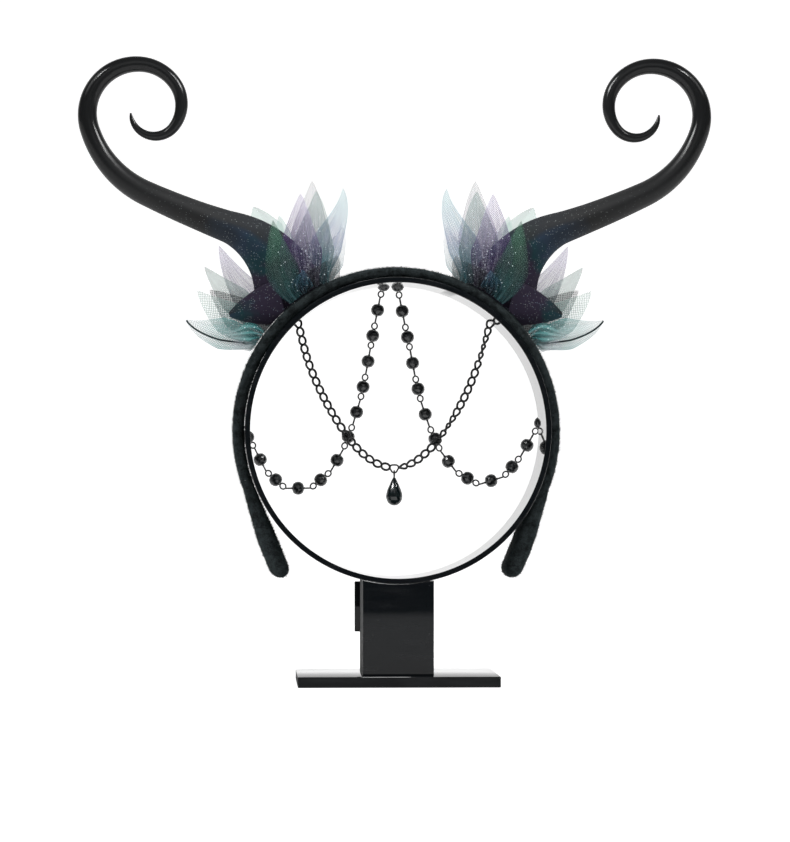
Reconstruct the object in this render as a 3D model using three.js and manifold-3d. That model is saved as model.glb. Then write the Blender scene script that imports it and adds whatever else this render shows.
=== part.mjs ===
// Tentacle headband on its display stand: a velvet band with two curled tentacles, organza petals
// round their roots, a curb chain with a teardrop pendant and two strings of faceted beads.
// Millimetres, +Z up. +X is the wearer's left seen from behind, +Y the wearer's face side.
// The origin is the centre of the stand's underside.
import * as THREE from 'three';
import Module from 'manifold-3d';
import { mergeVertices } from 'three/addons/utils/BufferGeometryUtils.js';

const wasm = await Module();
wasm.setup();

// Clearance between pieces that rest on each other
const CLEARANCE = 0.3;

// Display stand: base plate, post, ring and a plain plate behind the post
const BASE_WIDTH = 94;
const BASE_DEPTH = 68;
const BASE_THICKNESS = 5;
const POST_WIDTH = 33;
const RING_INNER_RADIUS = 69;
const RING_WALL = 2.5;
const RING_DEPTH = 46;
const RING_AXIS_HEIGHT = 119;
const PLATE_WIDTH = 38;
const PLATE_HEIGHT = 24;
const PLATE_THICKNESS = 3;

// Velvet band: an arc over the ring, then two straight arms that grow thicker towards their tips
const BAND_WIDTH = 28.5;
const BAND_THICKNESS = 5.4;
const BAND_TIP_THICKNESS = 9.2;
const BAND_FRONT_SETBACK = 0.5;
const BAND_ARM_ANGLE = 19;
const BAND_ARM_LENGTH = 48;
const BAND_ARM_BEND = 1.6;
const BAND_EDGE_ROUNDING = 1.6;

// Tentacle: tangent arcs from its seat on the band to the curled tip
const TENTACLE_LENGTH = 252;
const TENTACLE_ROOT_WIDTH = 36;
const TENTACLE_ROOT_DEPTH = 13;
const TENTACLE_SEAT_ANGLE = 131;
const TENTACLE_LEAN = 92;
const TENTACLE_SINK = 2.5;

// Spur: the blunt point that the root runs out to, beside the horn
const SPUR_LENGTH = 25.5;
const SPUR_WIDTH = 22;
const SPUR_SEAT_ANGLE = 131.5;
const SPUR_RISE = 4.3;
const SPUR_DIP = 14.3;
const SPUR_FORWARD = 4.5;
const SPUR_FLATNESS = 0.72;

// Organza petals
const PETAL_LENGTH = 49;
const PETAL_WIDTH = 21;
const PETAL_THICKNESS = 1.2;
const PETAL_SEAT_SHARE = 0.45;
const PETAL_TIP_SHARE = 0.06;
const PETAL_CUP = 0.05;

// Strings of faceted beads, each bead on a pin with an eye at both ends
const BEAD_DIAMETER = 6;
const BEAD_PITCH = 12.4;
const EYE_WIRE = 0.7;
const EYE_WIDTH = 3.5;
const EYE_INSET = 0.1;
const LINK_BITE = 0.14;

// Curb chain with the teardrop pendant on its centre link
const CURB_WIDTH = 4.2;
const CURB_HEIGHT = 2.2;
const CENTRE_LINK_DIAMETER = 4.6;
const CENTRE_LINK_WIRE = 0.8;
const BAIL_DIAMETER = 4.1;
const BAIL_WIRE = 0.7;
const DROP_LENGTH = 13.5;
const DROP_WIDTH = 8;

// Facets
const RING_SIDES = 40;
const CUTTER_SIDES = 72;
const WIRE_SIDES = 5;
const LINK_SIDES = 10;
const CURB_SIDES = 8;
const HORN_SIDES = 10;
const HORN_STEP = 23;

// Lengths along the tentacle as shares of it, with the turn of each arc in degrees
const TENTACLE_ARCS = [
  { length: 0.21, turn: 69 },
  { length: 0.17, turn: -6 },
  { length: 0.165, turn: -48 },
  { length: 0.185, turn: -113 },
  { length: 0.072, turn: -49 },
  { length: 0.088, turn: -73 },
  { length: 0.11, turn: -140 },
];

// Sections along the tentacle: width as a share of the root's width, depth as a share of the width
const TENTACLE_SECTIONS = [
  { at: 0, width: 1, depth: 0.37 },
  { at: 0.06, width: 0.87, depth: 0.43 },
  { at: 0.12, width: 0.7, depth: 0.57 },
  { at: 0.21, width: 0.45, depth: 0.95 },
  { at: 0.27, width: 0.4, depth: 1 },
  { at: 0.38, width: 0.345, depth: 1 },
  { at: 0.5, width: 0.272, depth: 1 },
  { at: 0.66, width: 0.23, depth: 1 },
  { at: 0.76, width: 0.193, depth: 1 },
  { at: 0.85, width: 0.167, depth: 1 },
  { at: 0.93, width: 0.12, depth: 1 },
  { at: 0.97, width: 0.078, depth: 1 },
  { at: 1, width: 0.02, depth: 1 },
];

// Sections along the spur, as shares of its length and width
const SPUR_SECTIONS = [
  { at: 0, width: 1 },
  { at: 0.3, width: 0.87 },
  { at: 0.53, width: 0.69 },
  { at: 0.75, width: 0.47 },
  { at: 0.91, width: 0.26 },
  { at: 1, width: 0.1 },
];

// Petals of one side: seat and tip as angles about the ring's axis, the Y of both from the band's
// middle as shares of half its width, the tip's distance from the band as a share of the longest
// petal, the width as a share of the widest petal and the tip's curl in degrees
const PETALS = [
  { name: 'crown_front', seat: 118, seatY: -0.6, tip: 108.6, reach: 0.85, tipY: -0.81, width: 1, curl: 6 },
  { name: 'crown_purple', seat: 121, seatY: -0.76, tip: 112.1, reach: 0.88, tipY: -1.04, width: 1, curl: -6 },
  { name: 'crown_inner', seat: 116, seatY: 0.6, tip: 102.1, reach: 0.84, tipY: 0.6, width: 0.71, curl: 22 },
  { name: 'crown_sliver', seat: 114, seatY: 0.76, tip: 104.4, reach: 0.48, tipY: 0.84, width: 0.62, curl: 20 },
  { name: 'crown_back', seat: 117.5, seatY: 0.92, tip: 108.1, reach: 1, tipY: 1.4, width: 0.86, curl: 0 },
  { name: 'veil_front', seat: 127.5, seatY: -0.92, tip: 120.6, reach: 0.76, tipY: -1.26, width: 0.71, curl: -8 },
  { name: 'veil_middle', seat: 125.5, seatY: 0.65, tip: 118.1, reach: 0.81, tipY: 1.12, width: 0.52, curl: 0 },
  { name: 'veil_back', seat: 128, seatY: 0.92, tip: 122.1, reach: 1.01, tipY: 1.47, width: 0.71, curl: 8 },
  { name: 'flame_lilac', seat: 138, seatY: 0.92, tip: 133.3, reach: 0.91, tipY: 1.54, width: 0.67, curl: -14 },
  { name: 'flame_upper', seat: 141, seatY: 0.76, tip: 139.1, reach: 0.87, tipY: 1.26, width: 0.62, curl: -8 },
  { name: 'flame_net', seat: 143.5, seatY: 0.6, tip: 142.7, reach: 0.68, tipY: 0.91, width: 0.67, curl: 0 },
  { name: 'flame_lower', seat: 146, seatY: 0.43, tip: 144.6, reach: 0.77, tipY: 0.63, width: 0.71, curl: -12 },
  { name: 'flame_curled', seat: 148, seatY: 0.27, tip: 152, reach: 0.72, tipY: 0.28, width: 0.62, curl: -24 },
];

// Routes of the strings and of the curb chain: X, then Y before the ring's far rim, then Z from
// the ring's axis. Each starts at the band's top or shoulder.
const STRING_ROUTES = {
  left: [
    [-3.5, 1.9, 75.8], [-6.5, 5, 64.5], [-11.2, 5.5, 40], [-16.1, 5.9, 15], [-23.9, 6.2, -8],
    [-31, 6.2, -20.2], [-40, 6.2, -27.4], [-50.5, 6.2, -28], [-60.2, 6.2, -20.6], [-66.4, 5, -8.8],
    [-73.2, 1.9, 2.2],
  ],
  right: [
    [0.7, 1.9, 75.8], [2.6, 5, 64.5], [7.6, 5.5, 40], [12.8, 5.9, 15], [20.9, 6.2, -6.6],
    [28.6, 6.2, -18.2], [39.6, 6.2, -25.5], [51.5, 6.2, -22.8], [60.4, 6.2, -13], [67.4, 5, -0.9],
    [73.6, 1.9, 9.1],
  ],
};
const CURB_ROUTE = {
  left: [[-47.6, 57.4], [-46, 51.8], [-41.4, 34], [-35.5, 19.6], [-27.6, 5.2], [-17.8, -8.2], [-8.4, -15.6]],
  right: [[47.6, 57.4], [46, 51.8], [40.8, 34], [35.3, 19.6], [27.6, 5.2], [18.2, -7.6], [8.4, -15.6]],
};
const PENDANT_DROP = 20.4;

// Half of a bead's profile between its girdle and its flat ends, as shares of its radius
const BEAD_PROFILE = { flatEnd: 0.9, girdle: 0.36 };

// Teardrop profile from its foot to its tip, as shares of its width and length
const DROP_PROFILE = [
  { radius: 0.26, height: 0.035 },
  { radius: 0.43, height: 0.15 },
  { radius: 0.5, height: 0.31 },
  { radius: 0.42, height: 0.52 },
  { radius: 0.24, height: 0.78 },
  { radius: 0.09, height: 0.96 },
];

// Places worked out from the sizes above
const RING_OUTER_RADIUS = RING_INNER_RADIUS + RING_WALL;
const RING_FAR_RIM = RING_DEPTH / 2;
const BAND_INNER_RADIUS = RING_OUTER_RADIUS + CLEARANCE;
const BAND_OUTER_RADIUS = BAND_INNER_RADIUS + BAND_THICKNESS;
const BAND_MIDDLE_RADIUS = BAND_INNER_RADIUS + BAND_THICKNESS / 2;
const BAND_FRONT = RING_FAR_RIM - BAND_FRONT_SETBACK;
const BAND_MIDDLE = BAND_FRONT - BAND_WIDTH / 2;
const SEAT_RADIUS = BAND_OUTER_RADIUS + CLEARANCE;
const CURB_PLANE = RING_FAR_RIM + CLEARANCE + CURB_HEIGHT / 2;
const SPUR_SEAT_RADIUS = BAND_OUTER_RADIUS + SPUR_RISE;
const EYE_SPAN = EYE_WIDTH - EYE_WIRE;
const EYE_BENDS = LINK_SIDES - 3;
const EYE_SWEEP = (Math.PI * EYE_BENDS) / LINK_SIDES;
const EYE_FOOT = (EYE_SPAN / 2) * Math.sin(EYE_SWEEP);

const ACROSS = new THREE.Vector3(0, 1, 0);
const radians = THREE.MathUtils.degToRad;

const satin = { color: 0x14161a, roughness: 0.4, metalness: 0 };
const velvet = { color: 0x0c1113, roughness: 0.95, metalness: 0 };
const acrylic = { color: 0x08090a, roughness: 0.08, metalness: 0 };
const gunmetal = { color: 0x2b2d2f, roughness: 0.35, metalness: 1 };
const jet = { color: 0x0b0d0e, roughness: 0.12, metalness: 0 };
const organza = { color: 0x4c7a70, roughness: 0.6, metalness: 0 };

// Point at an angle and distance about the ring's axis, at a depth along Y.
function polar(angle, radius, depth) {
  return new THREE.Vector3(
    radius * Math.cos(radians(angle)),
    depth,
    RING_AXIS_HEIGHT + radius * Math.sin(radians(angle)),
  );
}

// Reads a column of a table at a share between its rows.
function readTable(table, column, share) {
  const next = Math.max(1, table.findIndex((row) => row.at >= share - 1e-9));
  const before = table[next - 1];
  const after = table[next];
  return THREE.MathUtils.mapLinear(share, before.at, after.at, before[column], after[column]);
}

// Volume under a mesh's triangles, negative when its faces point inwards.
function signedVolume(geometry) {
  const point = geometry.attributes.position;
  const corner = [new THREE.Vector3(), new THREE.Vector3(), new THREE.Vector3()];
  let volume = 0;
  for (let i = 0; i < geometry.index.count; i += 3) {
    corner.forEach((vector, k) => vector.fromBufferAttribute(point, geometry.index.getX(i + k)));
    volume += corner[0].dot(corner[1].clone().cross(corner[2])) / 6;
  }
  return volume;
}

// Indexed geometry from points and triangles, turned so that its faces point out.
function solidGeometry(points, triangles) {
  const geometry = new THREE.BufferGeometry().setFromPoints(points);
  geometry.setIndex(triangles.flat());
  if (signedVolume(geometry) < 0) {
    geometry.setIndex(triangles.map(([a, b, c]) => [a, c, b]).flat());
  }
  geometry.computeVertexNormals();
  return geometry;
}

// Two triangles of a four-cornered face.
function quad(a, b, c, d) {
  return [[a, b, c], [a, c, d]];
}

// Triangles between neighbouring rings of points, the first ring starting at an index.
function tubeSides(first, rings, sides) {
  const triangles = [];
  for (let i = 0; i < rings - 1; i += 1) {
    for (let k = 0; k < sides; k += 1) {
      const a = first + i * sides + k;
      const b = first + i * sides + ((k + 1) % sides);
      triangles.push(...quad(a, a + sides, b + sides, b));
    }
  }
  return triangles;
}

// Skins a row of closed rings that have the same number of points, and caps both ends.
function loft(rings) {
  const sides = rings[0].length;
  const triangles = tubeSides(0, rings.length, sides);
  const last = (rings.length - 1) * sides;
  for (let k = 1; k < sides - 1; k += 1) {
    triangles.push([0, k, k + 1], [last, last + k + 1, last + k]);
  }
  return solidGeometry(rings.flat(), triangles);
}

// Mirror image of a geometry across the plane X = 0.
function mirrored(geometry) {
  const position = geometry.attributes.position;
  const points = Array.from({ length: position.count }, (_, i) => (
    new THREE.Vector3(-position.getX(i), position.getY(i), position.getZ(i))
  ));
  const index = Array.from(geometry.index.array);
  const triangles = Array.from({ length: index.length / 3 }, (_, i) => index.slice(3 * i, 3 * i + 3));
  return solidGeometry(points, triangles);
}

// Closed three.js geometry as a solid that can be joined and cut.
function toSolid(geometry) {
  const bare = geometry.clone();
  bare.deleteAttribute('normal');
  bare.deleteAttribute('uv');
  const merged = mergeVertices(bare, 1e-4);
  return new wasm.Manifold(new wasm.Mesh({
    numProp: 3,
    vertProperties: new Float32Array(merged.attributes.position.array),
    triVerts: new Uint32Array(merged.index.array),
  }));
}

// The joined or cut solid as three.js geometry again.
function toGeometry(solid) {
  const { vertProperties, triVerts } = solid.getMesh();
  const geometry = new THREE.BufferGeometry();
  geometry.setAttribute('position', new THREE.BufferAttribute(vertProperties, 3));
  geometry.setIndex(new THREE.BufferAttribute(triVerts, 1));
  geometry.computeVertexNormals();
  return geometry;
}

// Named mesh with a material of its own.
function piece(name, geometry, finish) {
  const mesh = new THREE.Mesh(geometry, new THREE.MeshStandardMaterial(finish));
  mesh.name = name;
  return mesh;
}

// Stand

function standBase() {
  const geometry = new THREE.BoxGeometry(BASE_WIDTH, BASE_DEPTH, BASE_THICKNESS);
  geometry.translate(0, 0, BASE_THICKNESS / 2);
  return piece('stand_base', geometry, acrylic);
}

// Post whose top is hollowed to the ring that it carries.
function standPost() {
  const cradle = RING_OUTER_RADIUS + CLEARANCE;
  const half = POST_WIDTH / 2;
  const edge = Math.asin(half / cradle);
  const outline = new THREE.Shape();
  outline.moveTo(-half, BASE_THICKNESS);
  outline.lineTo(half, BASE_THICKNESS);
  outline.absarc(0, RING_AXIS_HEIGHT, cradle, edge - Math.PI / 2, -edge - Math.PI / 2, true);
  outline.closePath();
  const geometry = new THREE.ExtrudeGeometry(outline, {
    depth: RING_DEPTH,
    bevelEnabled: false,
    curveSegments: 8,
  });
  geometry.rotateX(Math.PI / 2);
  geometry.translate(0, RING_DEPTH / 2, 0);
  return piece('stand_post', geometry, acrylic);
}

function standRing() {
  const half = RING_DEPTH / 2;
  const profile = [
    new THREE.Vector2(RING_INNER_RADIUS, -half),
    new THREE.Vector2(RING_OUTER_RADIUS, -half),
    new THREE.Vector2(RING_OUTER_RADIUS, half),
    new THREE.Vector2(RING_INNER_RADIUS, half),
    new THREE.Vector2(RING_INNER_RADIUS, -half),
  ];
  const geometry = new THREE.LatheGeometry(profile, RING_SIDES);
  geometry.translate(0, 0, RING_AXIS_HEIGHT);
  return piece('stand_ring', geometry, acrylic);
}

// Plain plate behind the post, just under the ring.
function standPlate() {
  const geometry = new THREE.BoxGeometry(PLATE_WIDTH, PLATE_THICKNESS, PLATE_HEIGHT);
  const top = RING_AXIS_HEIGHT - RING_OUTER_RADIUS - CLEARANCE;
  geometry.translate(0, RING_FAR_RIM + PLATE_THICKNESS / 2, top - PLATE_HEIGHT / 2);
  return piece('stand_plate', geometry, acrylic);
}

// Band

// Ring of eight points: the band's section with rounded edges, at a place on its middle line.
function bandSection(centre, outward, thickness, width) {
  const rounding = Math.min(BAND_EDGE_ROUNDING, 0.3 * thickness);
  const t = thickness / 2;
  const w = width / 2;
  const corners = [
    [t, w - rounding], [t - rounding, w], [rounding - t, w], [-t, w - rounding],
    [-t, rounding - w], [rounding - t, -w], [t - rounding, -w], [t, rounding - w],
  ];
  return corners.map(([out, across]) => (
    centre.clone().addScaledVector(outward, out).addScaledVector(ACROSS, across)
  ));
}

// Sections of one arm, from the arc's end to the rounded tip.
function armSections(side) {
  const endAngle = side > 0 ? -BAND_ARM_ANGLE : 180 + BAND_ARM_ANGLE;
  const start = polar(endAngle, BAND_MIDDLE_RADIUS, BAND_MIDDLE);
  const outward = polar(endAngle, 1, 0).sub(polar(endAngle, 0, 0));
  const down = new THREE.Vector3(outward.z * side, 0, -outward.x * side);
  const stations = [
    { at: 0.1, grown: 0, end: 1 },
    { at: 0.34, grown: 0.5, end: 1 },
    { at: 0.56, grown: 0.95, end: 1 },
    { at: 0.76, grown: 1, end: 1 },
    { at: 0.9, grown: 0.9, end: 1 },
    { at: 0.96, grown: 0.4, end: 0.94 },
    { at: 1, grown: -0.7, end: 0.8 },
  ];
  return stations.map(({ at, grown, end }) => {
    const thickness = BAND_THICKNESS + grown * (BAND_TIP_THICKNESS - BAND_THICKNESS);
    const centre = start.clone()
      .addScaledVector(down, at * BAND_ARM_LENGTH)
      .addScaledVector(outward, -BAND_ARM_BEND * at ** 3);
    return bandSection(centre, outward, thickness, BAND_WIDTH * end);
  });
}

function velvetBand() {
  const arc = [];
  const steps = 22;
  for (let i = 0; i <= steps; i += 1) {
    const angle = THREE.MathUtils.lerp(-BAND_ARM_ANGLE, 180 + BAND_ARM_ANGLE, i / steps);
    const outward = polar(angle, 1, 0).sub(polar(angle, 0, 0));
    arc.push(bandSection(polar(angle, BAND_MIDDLE_RADIUS, BAND_MIDDLE), outward, BAND_THICKNESS, BAND_WIDTH));
  }
  const rings = [...armSections(1).reverse(), ...arc, ...armSections(-1)];
  return piece('velvet_band', loft(rings), velvet);
}

// Tentacles

// Ellipse of points across a heading in the XZ plane.
function hornRing(centre, heading, width, depth) {
  const side = new THREE.Vector3(-Math.sin(heading), 0, Math.cos(heading));
  return Array.from({ length: HORN_SIDES }, (_, k) => {
    const turn = (2 * Math.PI * (k + 0.5)) / HORN_SIDES;
    return centre.clone()
      .addScaledVector(side, (Math.cos(turn) * width) / 2)
      .addScaledVector(ACROSS, (Math.sin(turn) * depth) / 2);
  });
}

// Horn of the left tentacle: follows the arcs and takes its sections from the table.
function hornGeometry() {
  const place = polar(TENTACLE_SEAT_ANGLE, BAND_OUTER_RADIUS - TENTACLE_SINK, BAND_MIDDLE);
  let heading = radians(TENTACLE_LEAN);
  let share = 0;
  const ringAt = () => {
    const width = TENTACLE_ROOT_WIDTH * readTable(TENTACLE_SECTIONS, 'width', share);
    const fullDepth = width * readTable(TENTACLE_SECTIONS, 'depth', share);
    const rootDepth = Math.max(0, 1 - share / TENTACLE_ARCS[0].length);
    const depth = THREE.MathUtils.lerp(fullDepth, TENTACLE_ROOT_DEPTH, rootDepth);
    return hornRing(place.clone(), heading, width, depth);
  };
  const rings = [ringAt()];
  TENTACLE_ARCS.forEach((arc) => {
    const steps = Math.max(2, Math.round(Math.abs(arc.turn) / HORN_STEP));
    const turn = radians(arc.turn) / steps;
    const chord = ((arc.length * TENTACLE_LENGTH) / steps) * (Math.sin(turn / 2) / (turn / 2));
    for (let i = 0; i < steps; i += 1) {
      const along = heading + turn / 2;
      place.add(new THREE.Vector3(Math.cos(along), 0, Math.sin(along)).multiplyScalar(chord));
      heading += turn;
      share = Math.min(1, share + arc.length / steps);
      rings.push(ringAt());
    }
  });
  return loft(rings);
}

// Spur of the left tentacle, pointing away from the band and a little down.
function spurGeometry() {
  const heading = Math.PI + radians(SPUR_DIP);
  const ahead = new THREE.Vector3(Math.cos(heading), 0, Math.sin(heading));
  const start = polar(SPUR_SEAT_ANGLE, SPUR_SEAT_RADIUS, BAND_MIDDLE - SPUR_FORWARD);
  const rings = SPUR_SECTIONS.map(({ at, width }) => {
    const centre = start.clone().addScaledVector(ahead, at * SPUR_LENGTH);
    return hornRing(centre, heading, width * SPUR_WIDTH, SPUR_FLATNESS * width * SPUR_WIDTH);
  });
  return loft(rings);
}

// Horn and spur as one solid, cut to sit on the band.
function tentacleGeometry() {
  const cutter = new THREE.CylinderGeometry(SEAT_RADIUS, SEAT_RADIUS, 3 * BAND_WIDTH, CUTTER_SIDES);
  cutter.translate(0, BAND_MIDDLE, RING_AXIS_HEIGHT);
  const joined = toSolid(hornGeometry()).add(toSolid(spurGeometry()));
  return toGeometry(joined.subtract(toSolid(cutter)));
}

// Petals

// Leaf-shaped, cupped shell along a curve from its seat on the band to its tip.
function petalGeometry(petal) {
  const depths = [petal.seatY, petal.tipY].map((share) => BAND_MIDDLE + (share * BAND_WIDTH) / 2);
  const seat = polar(petal.seat, SEAT_RADIUS, depths[0]);
  const tip = polar(petal.tip, SEAT_RADIUS + petal.reach * PETAL_LENGTH, depths[1]);
  const third = seat.distanceTo(tip) / 3;
  const outward = polar(petal.seat, 1, 0).sub(polar(petal.seat, 0, 0));
  const chord = Math.atan2(tip.z - seat.z, tip.x - seat.x) + radians(petal.curl);
  const arrival = new THREE.Vector3(Math.cos(chord), 0, Math.sin(chord));
  const spine = new THREE.CubicBezierCurve3(
    seat,
    seat.clone().addScaledVector(outward, third),
    tip.clone().addScaledVector(arrival, -third),
    tip,
  );
  const width = petal.width * PETAL_WIDTH;
  const inward = petal.seatY < 0 ? 1 : -1;
  const steps = 4;
  const columns = [-1, 0, 1];
  const faces = [1, -1].map((face) => {
    const points = [];
    for (let i = 0; i <= steps; i += 1) {
      const u = i / steps;
      const share = THREE.MathUtils.lerp(PETAL_SEAT_SHARE, PETAL_TIP_SHARE, u)
        + (1 - (PETAL_SEAT_SHARE + PETAL_TIP_SHARE) / 2) * Math.sin(Math.PI * u);
      const half = (share * width) / 2;
      const tangent = spine.getTangent(u);
      const sideways = new THREE.Vector3(-tangent.z, 0, tangent.x).normalize();
      columns.forEach((v) => {
        const cup = inward * PETAL_CUP * width * v * v * share;
        points.push(spine.getPoint(u)
          .addScaledVector(sideways, v * half)
          .addScaledVector(ACROSS, cup + (face * PETAL_THICKNESS) / 2));
      });
    }
    return points;
  });
  return shellGeometry(faces, steps, columns.length);
}

// Closed shell between two grids of points.
function shellGeometry(faces, steps, columns) {
  const back = faces[0].length;
  const at = (i, k) => i * columns + k;
  const triangles = [];
  for (let i = 0; i < steps; i += 1) {
    for (let k = 0; k < columns - 1; k += 1) {
      const [a, b, c, d] = [at(i, k), at(i, k + 1), at(i + 1, k + 1), at(i + 1, k)];
      triangles.push(...quad(a, b, c, d), ...quad(back + d, back + c, back + b, back + a));
    }
    [0, columns - 1].forEach((k) => {
      const wall = quad(at(i, k), at(i + 1, k), back + at(i + 1, k), back + at(i, k));
      triangles.push(...(k === 0 ? wall : wall.map(([a, b, c]) => [a, c, b])));
    });
  }
  for (let k = 0; k < columns - 1; k += 1) {
    triangles.push(...quad(at(0, k + 1), at(0, k), back + at(0, k), back + at(0, k + 1)));
    triangles.push(...quad(at(steps, k), at(steps, k + 1), back + at(steps, k + 1), back + at(steps, k)));
  }
  return solidGeometry([...faces[0], ...faces[1]], triangles);
}

// Bead strings

// Many-sided oval for a path to sweep.
function ovalSection(width, height, sides) {
  return new THREE.Shape(Array.from({ length: sides }, (_, k) => {
    const turn = (2 * Math.PI * k) / sides;
    return new THREE.Vector2((width / 2) * Math.cos(turn), (height / 2) * Math.sin(turn));
  }));
}

// Closed wire ring in its own XY plane.
function wireRing(width, wire) {
  return new THREE.TorusGeometry((width - wire) / 2, wire / 2, WIRE_SIDES, LINK_SIDES);
}

// Sections of a bead's eye in the XY plane: a many-sided wire loop that leaves the bead's end at
// x = foot on one side, reaches the far point and comes back beside it. Three of its sides are inside
// the bead.
function eyeSections(foot, far) {
  const halfLength = (far - foot) / (1 - Math.cos(EYE_SWEEP));
  return Array.from({ length: EYE_BENDS + 1 }, (_, j) => {
    const turn = THREE.MathUtils.lerp(-EYE_SWEEP, EYE_SWEEP, j / EYE_BENDS);
    const centre = new THREE.Vector3(
      far - halfLength * (1 - Math.cos(turn)),
      (EYE_SPAN / 2) * Math.sin(turn),
      0,
    );
    const atFoot = j === 0 || j === EYE_BENDS;
    const across = atFoot ? Math.sign(turn) * Math.PI / 2 : turn;
    const outward = new THREE.Vector3(Math.cos(across), Math.sin(across), 0);
    return Array.from({ length: WIRE_SIDES }, (__, k) => {
      const around = (2 * Math.PI * k) / WIRE_SIDES;
      return centre.clone()
        .addScaledVector(outward, (EYE_WIRE / 2) * Math.cos(around))
        .add(new THREE.Vector3(0, 0, (EYE_WIRE / 2) * Math.sin(around)));
    });
  });
}

// Indices from a first one on.
function indices(first, count) {
  return Array.from({ length: count }, (_, k) => first + k);
}

// Faceted bead along X with a wire eye at each end, as one skin: each eye's two feet are holes in
// the bead's flat end, which is as wide as they need. The eyes lie in the XY plane.
function beadUnit(length) {
  const radius = BEAD_DIAMETER / 2;
  const flatRadius = (EYE_FOOT + EYE_WIRE / 2 + EYE_INSET) / Math.cos(Math.PI / LINK_SIDES);
  const rows = [
    { x: BEAD_PROFILE.flatEnd * radius, width: flatRadius },
    { x: BEAD_PROFILE.girdle * radius, width: radius },
    { x: -BEAD_PROFILE.girdle * radius, width: radius },
    { x: -BEAD_PROFILE.flatEnd * radius, width: flatRadius },
  ];
  const points = rows.flatMap(({ x, width }) => indices(0, LINK_SIDES).map((k) => {
    const turn = (2 * Math.PI * (k + 0.5)) / LINK_SIDES;
    return new THREE.Vector3(x, width * Math.cos(turn), width * Math.sin(turn));
  }));
  const triangles = tubeSides(0, rows.length, LINK_SIDES);
  const sections = eyeSections(rows[0].x, (length + EYE_WIRE - LINK_BITE) / 2);
  [1, -1].forEach((end) => {
    const first = points.length;
    sections.flat().forEach((point) => points.push(new THREE.Vector3(end * point.x, end * point.y, point.z)));
    triangles.push(...tubeSides(first, sections.length, WIRE_SIDES));
    const rim = indices(end > 0 ? 0 : (rows.length - 1) * LINK_SIDES, LINK_SIDES);
    const feet = [indices(first, WIRE_SIDES), indices(points.length - WIRE_SIDES, WIRE_SIDES)];
    triangles.push(...flatCap(points, rim, feet, end));
  });
  return toSolid(solidGeometry(points, triangles));
}

// Triangles of a flat end across X, with holes, wound to face along X or against it.
function flatCap(points, rim, holes, end) {
  const flatten = (index) => new THREE.Vector2(points[index].y, points[index].z);
  const faces = THREE.ShapeUtils.triangulateShape(rim.map(flatten), holes.map((hole) => hole.map(flatten)));
  const order = [...rim, ...holes.flat()];
  return faces.map((face) => {
    const [a, b, c] = face.map((k) => order[k]);
    const [p, q, r] = [a, b, c].map(flatten);
    const turnsLeft = q.clone().sub(p).cross(r.clone().sub(p)) > 0;
    return turnsLeft === end > 0 ? [a, b, c] : [a, c, b];
  });
}

// Places a solid made along X at a point, facing a direction, its flat side turned to face +Y or not.
function placed(solid, point, direction, faceOn) {
  const x = direction.clone().normalize();
  const flat = ACROSS.clone().addScaledVector(x, -ACROSS.dot(x)).normalize();
  const z = faceOn ? flat : flat.clone().cross(x);
  const matrix = new THREE.Matrix4().makeBasis(x, z.clone().cross(x), z).setPosition(point);
  return solid.transform(matrix.toArray());
}

// Points at an even pitch along a route, given from the ring's axis and far rim.
function pitchPoints(route, pitch) {
  const curve = new THREE.CatmullRomCurve3(route.map(([x, y, z]) => (
    new THREE.Vector3(x, RING_FAR_RIM + y, RING_AXIS_HEIGHT + z)
  )));
  const count = Math.round(curve.getLength() / pitch);
  return curve.getSpacedPoints(count);
}

// String of beads whose eyes hook into each other, with a jump ring against the band at each end.
function beadString(side) {
  const joints = pitchPoints(STRING_ROUTES[side], BEAD_PITCH);
  const solids = [];
  for (let i = 0; i < joints.length - 1; i += 1) {
    const along = joints[i + 1].clone().sub(joints[i]);
    const middle = joints[i].clone().lerp(joints[i + 1], 0.5);
    solids.push(placed(beadUnit(along.length()), middle, along, i % 2 === 0));
  }
  const reach = (EYE_SPAN - EYE_WIRE + LINK_BITE) / 2;
  [[0, 1], [joints.length - 1, joints.length - 2]].forEach(([end, next]) => {
    const along = joints[next].clone().sub(joints[end]);
    const jump = toSolid(wireRing(EYE_WIDTH, EYE_WIRE));
    const unit = Math.min(end, next);
    const centre = joints[end].clone().addScaledVector(along.normalize(), -reach);
    solids.push(placed(jump, centre, along, unit % 2 === 1));
  });
  const whole = solids.reduce((sum, solid) => sum.add(solid));
  return piece(`bead_string_${side}`, toGeometry(whole), jet);
}

// Curb chain and pendant

// One half of the curb chain, as the flat outer form of its links.
function curbChain(side) {
  const curve = new THREE.CatmullRomCurve3(CURB_ROUTE[side].map(([x, z]) => (
    new THREE.Vector3(x, CURB_PLANE, RING_AXIS_HEIGHT + z)
  )));
  const end = new THREE.Vector3(
    Math.sign(CURB_ROUTE[side][0][0]) * (CENTRE_LINK_DIAMETER / 2 + CLEARANCE),
    CURB_PLANE,
    RING_AXIS_HEIGHT - PENDANT_DROP + CENTRE_LINK_DIAMETER / 2,
  );
  curve.points.push(end);
  const geometry = new THREE.ExtrudeGeometry(ovalSection(CURB_HEIGHT, CURB_WIDTH, CURB_SIDES), {
    steps: 11,
    extrudePath: curve,
    bevelEnabled: false,
  });
  return piece(`curb_chain_${side}`, geometry, gunmetal);
}

function centreLink() {
  const radius = (CENTRE_LINK_DIAMETER - CENTRE_LINK_WIRE) / 2;
  const geometry = wireRing(CENTRE_LINK_DIAMETER, CENTRE_LINK_WIRE);
  geometry.rotateX(Math.PI / 2);
  geometry.translate(0, CURB_PLANE, pendantPivot().z + radius);
  return piece('chain_centre_link', geometry, gunmetal);
}

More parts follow.
